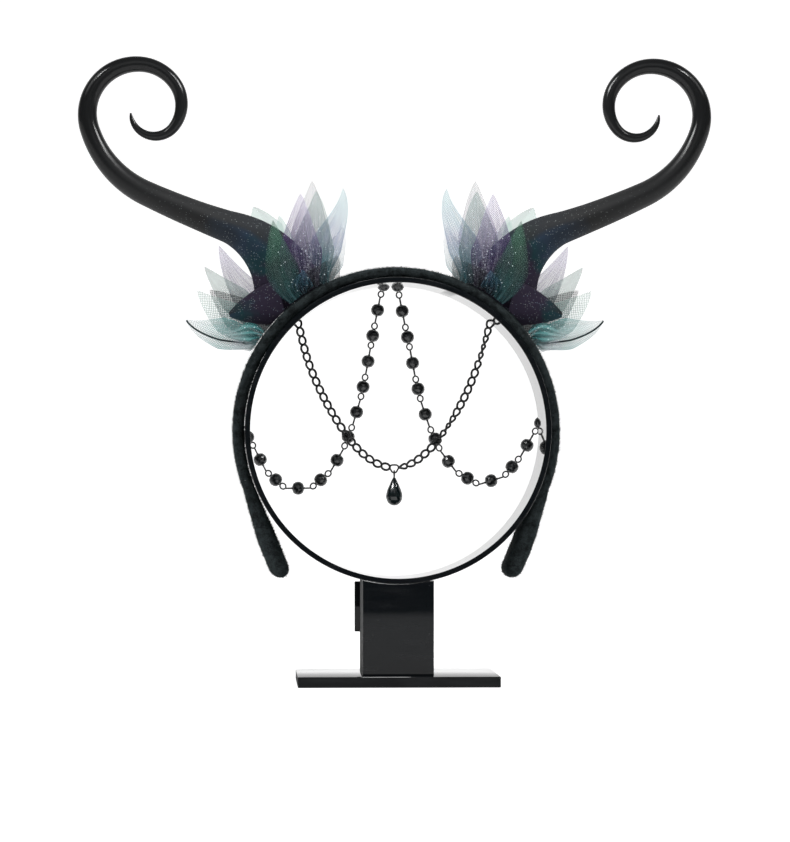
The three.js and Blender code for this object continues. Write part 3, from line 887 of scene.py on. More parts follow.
class Dye(Enum):
    """The dyed organza cloths of the petals."""

    GREEN = Organza(
        "organza_grey_green", (0.003, 0.035, 0.045), (0.050, 0.095, 0.095), (0.12, 0.19, 0.175),
        cover=(0.97, 0.9, 0.78),
        net=0.5, cell=0.7, ribs=0.48, highlight_strength=0.7,
    )
    PURPLE = Organza(
        "organza_purple", (0.016, 0.007, 0.030), (0.034, 0.017, 0.075), (0.19, 0.15, 0.27),
        cover=(0.98, 0.93, 0.66),
        net=0.5, cell=0.7, ribs=0.36, highlight_strength=1.0, light_side=0.97,
    )
    ICE = Organza(
        "organza_ice_blue", (0.003, 0.16, 0.19), (0.12, 0.15, 0.25), (0.17, 0.31, 0.33),
        cover=(0.97, 0.92, 0.7),
        net=0.5, cell=0.7, ribs=0.4, highlight_strength=0.9, light_side=0.7,
    )
    LILAC = Organza(
        "organza_lilac", (0.007, 0.005, 0.020), (0.12, 0.085, 0.20), (0.22, 0.18, 0.32),
        cover=(0.96, 0.8, 0.66),
        net=0.35, cell=0.62, highlight_strength=0.5,
    )
    VEIL = Organza(
        "organza_sea_green", (0.002, 0.040, 0.044), (0.011, 0.042, 0.032), (0.038, 0.11, 0.07),
        cover=(0.93, 0.74, 0.66),
        net=0.12, ribs=0.12, highlight_strength=0.1, sparkle=0.12, fade=0.55,
    )
    PALE = Organza(
        "organza_pale_mint", (0.003, 0.055, 0.062), (0.16, 0.27, 0.24), (0.32, 0.44, 0.40),
        cover=(0.95, 0.55, 0.56),
        net=0.05, ribs=0.08, highlight_strength=0.1, sparkle=0.03,
    )
    GREY = Organza(
        "organza_silver_grey", (0.010, 0.007, 0.024), (0.15, 0.13, 0.20), (0.24, 0.24, 0.25),
        cover=(0.95, 0.75, 0.62),
        net=0.35, ribs=0.4, highlight_strength=0.5,
    )
    NET = Organza(
        "net_black", (0.003, 0.008, 0.012), (0.008, 0.010, 0.014), (0.012, 0.013, 0.016),
        cover=(0.97, 0.95, 0.9),
        net=0.62, cell=1.05, ribs=0.1, highlight_strength=0.1, sparkle=0.0, dots=True,
    )
    SURF = Organza(
        "net_teal", (0.015, 0.15, 0.155), (0.07, 0.25, 0.24), (0.24, 0.33, 0.33),
        cover=(0.97, 0.84, 0.5),
        net=0.45, cell=0.8, highlight_strength=0.7, sparkle=0.32,
    )
    MINT_NET = Organza(
        "net_mint", (0.003, 0.060, 0.066), (0.13, 0.24, 0.23), (0.32, 0.44, 0.40),
        cover=(0.95, 0.66, 0.56),
        net=0.6, cell=0.85, ribs=0.1, highlight_strength=0.3,
    )
    SHADE = Organza(
        "organza_dark_tulle", (0.004, 0.006, 0.010), (0.008, 0.010, 0.016), (0.03, 0.035, 0.04),
        cover=(0.97, 0.85, 0.6),
        net=0.5, highlight_strength=0.2,
    )
    DEEP = Organza(
        "organza_deep_blue", (0.002, 0.030, 0.040), (0.005, 0.050, 0.075), (0.02, 0.085, 0.13),
        cover=(0.97, 0.85, 0.6),
        net=0.3, highlight_strength=0.3, sparkle=0.4,
    )
    WHITE = Organza(
        "organza_white", (0.02, 0.12, 0.13), (0.30, 0.38, 0.40), (0.42, 0.44, 0.50),
        cover=(0.9, 0.55, 0.25),
        net=0.1, highlight_strength=0.5,
    )


@cache
def built(finish: object) -> Finish:
    """Returns the material of a finish, built the first time that it's asked for."""
    return finish.material()


@dataclass
class Stand:
    """Black acrylic display stand: base, post, ring and the plate behind the post."""

    base: tuple[float, float, float] = (94, 68, 5)
    post_width: float = 33
    plate: tuple[float, float, float] = (38, 3, 24)
    edge: float = 0.35
    flat_angle: float = 15

    def finished(self, piece: Piece, node: str, segments: int = 3, angle: float = 30) -> Piece:
        """Breaks a cut piece's edges, and hands it over as acrylic.

        Args:
            piece: the cut piece.
            node: the solid that it replaces.
            segments: faces across an edge.
            angle: the least angle that is broken.

        Returns:
            The piece.
        """
        Bench.bevel(piece, self.edge * MM, segments, angle)
        Bench.smooth(piece, self.flat_angle)
        Bench.hand_over(piece, built(Acrylic()), "acrylic", [node])
        return piece

    def ring(self) -> Piece:
        """Makes the ring as a tube.

        Returns:
            The ring, not yet finished.
        """
        made = Bench.drum("ring_tube", PLAN.ring_outer, PLAN.ring_depth, fill="NOTHING")
        wall = (PLAN.ring_outer - PLAN.ring_inner) * MM
        Bench.modify(made, "SOLIDIFY", thickness=wall, offset=-1, use_even_offset=True)
        Bench.weld(made)
        return made

    def post(self) -> Piece:
        """Makes the post with its top hollowed to the ring.

        Returns:
            The post, not yet finished.
        """
        foot = self.base[2]
        top = PLAN.ring_axis - math.sqrt(PLAN.band_inner**2 - (self.post_width / 2) ** 2)
        size = (self.post_width, PLAN.ring_depth, top - foot)
        made = Bench.block("post_block", size, metres(0, 0, (foot + top) / 2))
        cradle = Bench.drum("cradle_tool", PLAN.band_inner, 2 * PLAN.ring_depth)
        Bench.carve(made, cradle, "DIFFERENCE")
        return made

    def build(self) -> None:
        """Builds the stand's four pieces."""
        base = Bench.block("base_sheet", self.base, metres(0, 0, self.base[2] / 2))
        top = PLAN.ring_axis - PLAN.band_inner
        middle = metres(0, PLAN.far_rim + self.plate[1] / 2, top - self.plate[2] / 2)
        plate = Bench.block("back_plate", self.plate, middle)
        self.finished(base, "stand_base")
        self.finished(plate, "stand_plate")
        self.finished(self.ring(), "stand_ring", angle=57)
        post = self.finished(self.post(), "stand_post", segments=2, angle=52)
        self.saw(post, (0,))
        self.saw(base, (0, 1))

    def saw(self, piece: Piece, axes: Sequence[int]) -> None:
        """Gives the faces that look along the given axes the dull finish of a sawn edge.

        Args:
            piece: the cut piece.
            axes: 0 for X and 1 for Y.
        """
        sawn = Acrylic("sawn_acrylic", (0.004, 0.0045, 0.005), (0.010, 0.011, 0.012), 0.62, 0.12)
        piece.data.materials.append(built(sawn))
        for face in piece.data.polygons:
            if max(abs(face.normal[axis]) for axis in axes) > 0.9:
                face.material_index = 1


@dataclass
class VelvetBand:
    """Padded velvet band: an arc over the ring, then two straight arms with rounded tips."""

    arm_angle: float = 19
    arm_length: float = 48
    tip_thickness: float = 9.2
    tip_bend: float = 1.6
    tip_round: float = 4.2
    crown: float = 4 / 5.2
    squareness: float = 0.3
    crush: float = 0.10
    steps_along: int = 420
    steps_round: int = 40
    fibres: int = 26000
    fibre_length: float = 1.4
    fibre_width: float = 0.19
    fibre_lean: float = 0.45
    fibre_slide: float = 0.4
    fibre_sink: float = 0.1
    seed: int = 11

    def line(self) -> tuple[np.ndarray, np.ndarray, np.ndarray, np.ndarray]:
        """Returns points, outward directions, thickness and width along the band.

        Returns:
            Four arrays, one row a step.
        """
        middle = PLAN.band_inner + PLAN.band_thickness / 2
        arc = np.radians(180 + 2 * self.arm_angle) * middle
        whole = arc + 2 * self.arm_length
        along = np.linspace(0, whole, self.steps_along + 1)
        points, outward, thickness, width = [], [], [], []
        for s in along:
            on_arc = min(max(s - self.arm_length, 0), arc)
            turn = np.radians(-self.arm_angle) + on_arc / middle
            out = np.array([math.cos(turn), 0, math.sin(turn)])
            ahead = np.array([-math.sin(turn), 0, math.cos(turn)])
            past = s - self.arm_length - on_arc
            share = abs(past) / self.arm_length
            bent = middle - self.tip_bend * share**3
            spot = np.array([0, PLAN.band_middle, PLAN.ring_axis]) + bent * out + past * ahead
            grown = np.interp(share, [0.05, 0.34, 0.56, 0.76, 0.9, 1], [0, 0.5, 0.95, 1, 0.92, 0.6])
            from_tip = self.arm_length - abs(past)
            cap = math.sqrt(max(0.0, 1 - max(0.0, 1 - from_tip / self.tip_round) ** 2))
            points.append(spot)
            outward.append(out)
            full = PLAN.band_thickness + grown * (self.tip_thickness - PLAN.band_thickness)
            thickness.append(full * max(cap, 0.05))
            width.append(PLAN.band_width * (0.8 + 0.2 * cap))
        return np.array(points), np.array(outward), np.array(thickness), np.array(width)

    def build(self) -> None:
        """Builds the band, with a soft uneven pile."""
        points, outward, thickness, width = self.line()

        def place(u: np.ndarray, v: np.ndarray) -> np.ndarray:
            """Puts the grid's points on the band's rounded section.

            Args:
                u: shares along the grid.
                v: shares round or across it.

            Returns:
                The points, in millimetres.
            """
            index = np.rint(u * self.steps_along).astype(int)
            turn = 2 * np.pi * (v + 0.125)
            out = np.sign(np.cos(turn)) * np.abs(np.cos(turn)) ** self.crown
            across = np.sign(np.sin(turn)) * np.abs(np.sin(turn)) ** self.squareness
            waves = np.sin(37 * u * 2 * np.pi + 3 * np.sin(turn)) * np.sin(5 * turn + 60 * u)
            rough = self.crush * waves
            return (
                points[index]
                + outward[index] * ((thickness[index] / 2 * out) + rough)[:, None]
                + np.array([0, 1.0, 0]) * (width[index] / 2 * across)[:, None]
            )

        band = Bench.bent_grid("band_velvet", self.steps_along, self.steps_round, place)
        Bench.close_tube(band)
        Bench.smooth(band, 60)
        Bench.hand_over(band, built(Velvet()), "velvet", ["velvet_band"])
        self.pile(band)

    def pile(self, band: Piece) -> None:
        """Sticks short fibres out of the band, each a thin triangle, as the cut pile's edge shows.

        Args:
            band: the finished band.
        """
        chance = np.random.default_rng(self.seed)
        faces = [f for f in band.data.polygons if f.normal.y < 0.75 or abs(f.center.y) < 0.02]
        chosen = chance.choice(len(faces), self.fibres)
        corners, triangles = [], []
        for number in chosen:
            face = faces[number]
            lean = Vector(chance.normal(0, self.fibre_lean, 3))
            ahead = (face.normal + lean).normalized()
            side = ahead.cross(Vector(chance.normal(0, 1, 3))).normalized() * self.fibre_width * MM / 2
            slide = face.normal.cross(Vector(chance.normal(0, 1, 3))) * self.fibre_slide * MM
            root = face.center + slide - face.normal * self.fibre_sink * MM
            top = root + ahead * chance.uniform(0.5, 1.0) * self.fibre_length * MM
            triangles.append([len(corners), len(corners) + 1, len(corners) + 2])
            corners += [root - side, root + side, top]
        mesh = bpy.data.meshes.new("velvet_pile")
        mesh.from_pydata(corners, [], triangles)
        fibres = bpy.data.objects.new("velvet_pile", mesh)
        bpy.context.collection.objects.link(fibres)
        cloth = Velvet("velvet_fibres", (0.003, 0.005, 0.006), (0.030, 0.040, 0.042))
        Bench.hand_over(fibres, built(cloth), "velvet")


@dataclass
class Tentacle:
    """Curled black tentacle with a flared root, and the blunt spur beside it."""

    length: float = 252
    root_width: float = 36
    root_depth: float = 13
    seat_angle: float = 131
    lean: float = 92
    sink: float = 2.5
    arcs: tuple[tuple[float, float], ...] = (
        (0.21, 69),
        (0.17, -6),
        (0.165, -48),
        (0.185, -113),
        (0.072, -49),
        (0.088, -73),
        (0.11, -140),
    )
    at: tuple[float, ...] = (0, 0.06, 0.12, 0.21, 0.27, 0.38, 0.5, 0.66, 0.76, 0.85, 0.93, 0.97, 0.99, 1)
    width: tuple[float, ...] = (
        1, 0.87, 0.7, 0.45, 0.4, 0.345, 0.272, 0.23, 0.193, 0.167, 0.125, 0.09, 0.062, 0.024,
    )
    depth: tuple[float, ...] = (0.37, 0.43, 0.57, 0.95, 1, 1, 1, 1, 1, 1, 1, 1, 1, 1)
    ridge_height: float = 0.16
    gather_height: float = 0.05
    spur_length: float = 25.5
    spur_width: float = 22
    spur_angle: float = 131.5
    spur_rise: float = 4.3
    spur_dip: float = 14.3
    spur_forward: float = 4.5
    spur_flatness: float = 0.72
    spur_fold: float = 0.035
    spur_dye: float = 0.15
    spur_at: tuple[float, ...] = (0, 0.3, 0.53, 0.75, 0.91, 1)
    spur_share: tuple[float, ...] = (1, 0.87, 0.69, 0.47, 0.26, 0.1)
    steps: int = 320
    sides: int = 36

    def horn_line(self) -> tuple[np.ndarray, np.ndarray, np.ndarray, np.ndarray]:
        """Returns the centres, headings, widths and depths along the horn.

        Returns:
            Four arrays, one row a step.
        """
        shares = np.linspace(0, 1, self.steps + 1)
        ends = np.cumsum([0] + [a[0] for a in self.arcs])
        turns = np.cumsum([0] + [a[1] for a in self.arcs])
        heading = np.radians(self.lean + np.interp(shares * ends[-1], ends, turns))
        middle = (heading[1:] + heading[:-1]) / 2
        step = self.length / self.steps
        start = PLAN.polar(self.seat_angle, PLAN.band_outer - self.sink, PLAN.band_middle)
        moves = step * np.stack([np.cos(middle), 0 * middle, np.sin(middle)], axis=1)
        centres = np.concatenate([[start], start + np.cumsum(moves, axis=0)])
        width = eased(self.root_width * np.interp(shares, self.at, self.width), 7, 0.25)
        rooted = np.clip(1 - shares / self.arcs[0][0], 0, 1)
        flatness = np.interp(shares, self.at, self.depth)
        depth = width * flatness * (1 - rooted) + self.root_depth * rooted
        return centres, heading, width, depth

    def horn(self) -> Piece:
        """Makes the horn, round at its curl and with a soft ridge along its lower stretch.

        Returns:
            The horn.
        """
        centres, heading, width, depth = self.horn_line()

        def place(u: np.ndarray, v: np.ndarray) -> np.ndarray:
            """Puts the grid's points on the horn's sections.

            Args:
                u: shares along the grid.
                v: shares round or across it.

            Returns:
                The points, in millimetres.
            """
            index = np.rint(u * self.steps).astype(int)
            turn = 2 * np.pi * v
            ridge = self.ridge_height * np.interp(u, [0.08, 0.18, 0.36, 0.5], [0.3, 1, 1, 0])
            gather = self.gather_height * np.exp(-((u / 0.13) ** 2)) * np.cos(9 * turn + 5 * u)
            swell = 1 + ridge * (np.abs(np.sin(turn)) ** 5 - 0.35) + gather
            side = np.stack([-np.sin(heading[index]), 0 * u, np.cos(heading[index])], axis=1)
            return (
                centres[index]
                + side * (np.cos(turn) * swell * width[index] / 2)[:, None]
                + np.array([0, 1.0, 0]) * (np.sin(turn) * swell * depth[index] / 2)[:, None]
            )

        made = Bench.bent_grid("horn_sweep", self.steps, self.sides, place)
        Bench.close_tube(made)
        return made

    def spur(self) -> Piece:
        """Makes the blunt point that the root runs out to.

        Returns:
            The spur.
        """
        rise, depth = PLAN.band_outer + self.spur_rise, PLAN.band_middle - self.spur_forward
        start = PLAN.polar(self.spur_angle, rise, depth)
        heading = math.radians(180 + self.spur_dip)
        ahead = np.array([math.cos(heading), 0, math.sin(heading)])
        side = np.array([-math.sin(heading), 0, math.cos(heading)])
        steps = 40
        shares = np.interp(np.linspace(0, 1, steps + 1), self.spur_at, self.spur_share)
        shares = eased(shares, 4, 0.03)

        def place(u: np.ndarray, v: np.ndarray) -> np.ndarray:
            """Puts the grid's points on the spur's oval sections.

            Args:
                u: shares along the grid.
                v: shares round or across it.

            Returns:
                The points, in millimetres.
            """
            turn = 2 * np.pi * v
            wide = self.spur_width / 2 * shares[np.rint(u * steps).astype(int)]
            crest = wide * (1 + self.spur_fold * np.cos(7 * turn + 3 * u) * (1 - u))
            lift = (self.spur_flatness * crest * np.sin(turn))[:, None]
            moved = (u * self.spur_length)[:, None] * ahead + (crest * np.cos(turn))[:, None] * side
            return start + moved + lift * np.array([0, 1.0, 0])

        made = Bench.bent_grid("spur_sweep", steps, 32, place)
        layer = made.data.uv_layers["UVMap"]
        dyed_part = np.array([loop.uv[:] for loop in layer.data]) * (self.spur_dye, 1)
        layer.data.foreach_set("uv", dyed_part.ravel())
        Bench.close_tube(made)
        return made

    def build(self) -> None:
        """Builds both tentacles, each cut to sit on the band."""
        left, spur = self.horn(), self.spur()
        for part in (left, spur):
            tool = Bench.drum("seat_tool", PLAN.seat, 3 * PLAN.band_width, PLAN.band_middle, 160)
            Bench.carve(part, tool, "DIFFERENCE")
        Bench.carve(left, spur, "UNION")
        left = Bench.join([left], "horn_left")
        Bench.smooth(left, 50)
        right = Bench.mirrored(left, "horn_right")
        satin = built(TentacleSkin())
        for side, horn in ((Side.LEFT, left), (Side.RIGHT, right)):
            Bench.hand_over(horn, satin, "satin", [f"tentacle_{side.label}"])


@dataclass
class Petal:
    """One organza petal of the left side, in millimetres and degrees about the ring's axis."""

    name: str
    dye: Dye
    seat: float
    seat_depth: float
    tip: float
    reach: float
    tip_depth: float
    width: float
    curl: float
    belly: float = 0.42
    pleats: float = 2.5
    fold: float = 0.7
    slot: str = "organza_green"
    solid: bool = True
    hem: float = 0.0
    hem_wire: float = 0.85
    hem_forward: float = 1.1
    cup: float = 0.05
    ruffle: float = 0.25
    steps: tuple[int, int] = (40, 26)

    def spine(self, v: np.ndarray) -> tuple[np.ndarray, np.ndarray]:
        """Returns the points and directions of the petal's middle line.

        Args:
            v: shares of its length.

        Returns:
            The points in millimetres, and unit vectors.
        """
        seat = PLAN.polar(self.seat, PLAN.seat + 0.2, PLAN.band_middle + self.seat_depth)
        tip = PLAN.polar(self.tip, self.reach, PLAN.band_middle + self.tip_depth)
        third = np.linalg.norm(tip - seat) / 3
        outward = PLAN.polar(self.seat, 1, 0) - PLAN.polar(self.seat, 0, 0)
        chord = math.atan2(tip[2] - seat[2], tip[0] - seat[0]) + math.radians(self.curl)
        arrival = np.array([math.cos(chord), 0, math.sin(chord)])
        a, b, c, d = seat, seat + third * outward, tip - third * arrival, tip
        t = v[:, None]
        points = (1 - t) ** 3 * a + 3 * (1 - t) ** 2 * t * b + 3 * (1 - t) * t**2 * c + t**3 * d
        ahead = 3 * (1 - t) ** 2 * (b - a) + 6 * (1 - t) * t * (c - b) + 3 * t**2 * (d - c)
        return points, ahead / np.linalg.norm(ahead, axis=1)[:, None]

    @property
    def cut_length(self) -> float:
        """Length of the petal along its bend."""
        line = self.spine(np.linspace(0, 1, 40))[0]
        return float(np.linalg.norm(np.diff(line, axis=0), axis=1).sum())

    def breadth(self, v: np.ndarray) -> np.ndarray:
        """Returns the petal's half width at each share of its length.

        Args:
            v: shares of its length.

        Returns:
            Half widths, in millimetres.
        """
        rising = 0.42 + 0.58 * np.sin(np.pi / 2 * np.clip(v / self.belly, 0, 1))
        falling = np.clip((1 - v) / (1 - self.belly), 0, 1) ** 0.82
        return self.width / 2 * np.minimum(rising, falling)

    def build(self, side: Side) -> Piece:
        """Builds the petal as a gathered sheet, and returns it.

        Args:
            side: the side that it's for.

        Returns:
            The petal.
        """
        inward = 1 if self.seat_depth < 0 else -1

        def place(u: np.ndarray, v: np.ndarray) -> np.ndarray:
            """Puts the grid's points on the cupped, pleated petal: u along it and v across it.

            Args:
                u: shares along the grid.
                v: shares round or across it.

            Returns:
                The points, in millimetres.
            """
            points, ahead = self.spine(u)
            sideways = np.stack([-ahead[:, 2], 0 * u, ahead[:, 0]], axis=1)
            sideways /= np.linalg.norm(sideways, axis=1)[:, None]
            offset = 2 * v - 1
            half = self.breadth(u)
            pleat = self.fold * np.sin(2 * np.pi * self.pleats * v + self.seat) * (1 - u) ** 1.2
            ruffle = self.ruffle * np.sin(9 * u + self.tip) * offset**2
            cup = inward * 2 * self.cup * offset**2 * half
            points = points + sideways * (offset * half)[:, None]
            points[:, 1] += cup + pleat + ruffle
            return points * np.array([1.0 if side is Side.LEFT else -1.0, 1, 1])

        made = Bench.bent_grid(f"organza_{self.name}_{side.label}", *self.steps, place)
        if side is Side.RIGHT:
            made.data.flip_normals()
        self.weave_map(made)
        Bench.smooth(made, 180)
        nodes = [f"petal_{self.name}_{side.label}"] if self.solid else []
        Bench.hand_over(made, built(self.dye.value), self.slot, nodes)
        self.declare([self.rolled_hem(side)] if self.hem else [])
        return made

    def rolled_hem(self, side: Side) -> Piece:
        """Makes the dark rolled hem that curls along the petal, in front of it.

        Args:
            side: the petal's side.

        Returns:
            The hem.
        """
        share = np.linspace(0.1, 0.985, 36)
        points, ahead = self.spine(share)
        sideways = np.stack([-ahead[:, 2], 0 * share, ahead[:, 0]], axis=1)
        line = points + sideways * (self.hem * self.breadth(share))[:, None]
        line[:, 1] -= self.hem_forward
        line[:, 0] *= 1 if side is Side.LEFT else -1
        made = Bench.swept(f"hem_{self.name}_{side.label}", line, self.hem_wire)
        Bench.smooth(made, 60)
        cloth = Velvet("rolled_hem", (0.003, 0.008, 0.010), (0.020, 0.034, 0.036))
        Bench.hand_over(made, built(cloth), self.slot)
        return made

    def weave_map(self, made: Piece) -> None:
        """Adds a UV map in millimetres on the flat petal, for the threads.

        Args:
            made: the petal.
        """
        u, v = np.array([loop.uv[:] for loop in made.data.uv_layers["UVMap"].data]).T
        flat = np.stack([u * self.cut_length, (2 * v - 1) * self.breadth(u)], axis=1)
        layer = made.data.uv_layers.new(name="Weave")
        layer.data.foreach_set("uv", flat.ravel())
        made.data.uv_layers.active = made.data.uv_layers["UVMap"]

    def declare(self, hems: Sequence[Piece]) -> None:
        """Works out the petal's length along its bend, in metres, and does nothing more with it.

        Args:
            hems: its hem, where it has one; not used.
        """
        length = self.cut_length * MM


def tuft(name: str, dye: Dye, *place: float, fold: float = 1.6, pleats: float = 4) -> Petal:
    """Returns a gathered tuft of tulle at a petal's foot, which has no solid of its own."""
    return Petal(f"tuft_{name}", dye, *place, fold=fold, pleats=pleats, solid=False)


@dataclass
class Petals:
    """The petals round both roots."""

    left: list[Petal] = field(
        default_factory=lambda: [
            Petal("crown_front", Dye.GREEN, 118, -8.5, 108.6, 119.2, -11.5, 20, 6, fold=0.5),
            Petal(
                "crown_purple", Dye.PURPLE, 121, -10.8, 112.1, 120.5, -14.8, 20, -6,
                slot="organza_purple",
            ),
            Petal("crown_inner", Dye.ICE, 116, 8.5, 102.1, 118.5, 8.5, 15, 22),
            Petal("crown_sliver", Dye.WHITE, 114, 10.8, 104.4, 101, 12, 13, 20),
            Petal("crown_back", Dye.GREY, 117.5, 13.1, 108.1, 126.5, 20, 19, 0, belly=0.5),
            Petal("veil_front", Dye.VEIL, 127.5, -13.1, 120.6, 114.6, -18, 16, -8),
            Petal("veil_middle", Dye.PALE, 125.5, 9.2, 118.1, 117, 16, 13, 0, belly=0.6),
            Petal("veil_back", Dye.PALE, 128, 13.1, 122.1, 126.9, 21, 18, 8, belly=0.75),
            Petal("flame_lilac", Dye.LILAC, 138, 13.1, 133.3, 122.3, 22, 15, -14, slot="organza_purple"),
            Petal("flame_upper", Dye.PALE, 141, 10.8, 139.1, 120.1, 18, 14, -8, belly=0.5),
            Petal("flame_net", Dye.NET, 143.5, 8.5, 142.7, 111, 13, 16, 0, belly=0.5),
            Petal("flame_lower", Dye.MINT_NET, 146, 6.2, 144.6, 115.4, 9, 16, -12, belly=0.5),
            Petal("flame_curled", Dye.SURF, 148, 3.9, 152, 112.6, 4, 15, -24, belly=0.5, hem=0.42),
            tuft("dark", Dye.SHADE, 114.5, -4, 109, 87.5, -9, 11, 30),
            tuft("plum", Dye.SHADE, 119.5, -12.2, 113.5, 86, -16.5, 11, 20),
            tuft("blue", Dye.DEEP, 124, -12.6, 120.5, 87.5, -17, 10, 10),
            tuft("teal", Dye.SURF, 144.5, -10, 151, 93, -12, 9, -10, fold=1.2, pleats=3),
            tuft("white", Dye.WHITE, 147.5, -8, 153, 88, -10, 10, -10, fold=1.4, pleats=3),
        ]
    )

    def build(self) -> None:
        """Builds every petal on both sides."""
        for side in Side:
            for petal in self.left:
                petal.build(side)


class Route:
    """A smooth route through a few chosen points, in millimetres."""

    def __init__(self, points: Sequence[Sequence[float]]) -> None:
        """Samples a centripetal spline through the points.

        Args:
            points: the places that it passes.
        """
        knots = [np.array(p, float) for p in points]
        knots = [2 * knots[0] - knots[1], *knots, 2 * knots[-1] - knots[-2]]
        samples = []
        for i in range(1, len(knots) - 2):
            shares = np.linspace(0, 1, 60, endpoint=False)
            samples += [self.between(knots[i - 1 : i + 3], t) for t in shares]
        samples.append(knots[-2])
        self.samples = np.array(samples)
        steps = np.linalg.norm(np.diff(self.samples, axis=0), axis=1)
        self.reached = np.concatenate([[0], np.cumsum(steps)])

    @staticmethod
    def between(four: Sequence[np.ndarray], t: float) -> np.ndarray:
        """Returns the point of a centripetal spline between the middle two of four knots.

        Args:
            four: the knots.
            t: share of the way from the second to the third.

        Returns:
            The point.
        """
        t0 = 0.0
        t1 = t0 + math.sqrt(np.linalg.norm(four[1] - four[0]))
        t2 = t1 + math.sqrt(np.linalg.norm(four[2] - four[1]))
        t3 = t2 + math.sqrt(np.linalg.norm(four[3] - four[2]))
        s = t1 + t * (t2 - t1)
        a1 = (t1 - s) / (t1 - t0) * four[0] + (s - t0) / (t1 - t0) * four[1]
        a2 = (t2 - s) / (t2 - t1) * four[1] + (s - t1) / (t2 - t1) * four[2]
        a3 = (t3 - s) / (t3 - t2) * four[2] + (s - t2) / (t3 - t2) * four[3]
        b1 = (t2 - s) / (t2 - t0) * a1 + (s - t0) / (t2 - t0) * a2
        b2 = (t3 - s) / (t3 - t1) * a2 + (s - t1) / (t3 - t1) * a3
        return (t2 - s) / (t2 - t1) * b1 + (s - t1) / (t2 - t1) * b2

    def spaced(self, pitch: float) -> np.ndarray:
        """Returns points at an even pitch, as near to the given one as the length allows.

        Args:
            pitch: the wanted pitch, in millimetres.

        Returns:
            The points.
        """
        whole = self.reached[-1]
        marks = np.linspace(0, whole, max(2, round(whole / pitch) + 1))
        return np.stack([np.interp(marks, self.reached, self.samples[:, k]) for k in range(3)], axis=1)


def facing(point: np.ndarray, ahead: np.ndarray, roll: float) -> Matrix:
    """Returns the place of a piece made along X with its flat side to Z.

    Args:
        point: the piece's middle, in millimetres.
        ahead: the direction of its X.
        roll: degrees that the flat side turns from facing the camera.

    Returns:
        The matrix in metres.
    """
    x = Vector(ahead).normalized()
    flat = Vector((0, -1, 0))
    z = (flat - x * flat.dot(x)).normalized()
    z = Matrix.Rotation(math.radians(roll), 3, x) @ z
    turned = Matrix((x, z.cross(x), z)).transposed().to_4x4()
    turned.translation = metres(*point)
    return turned


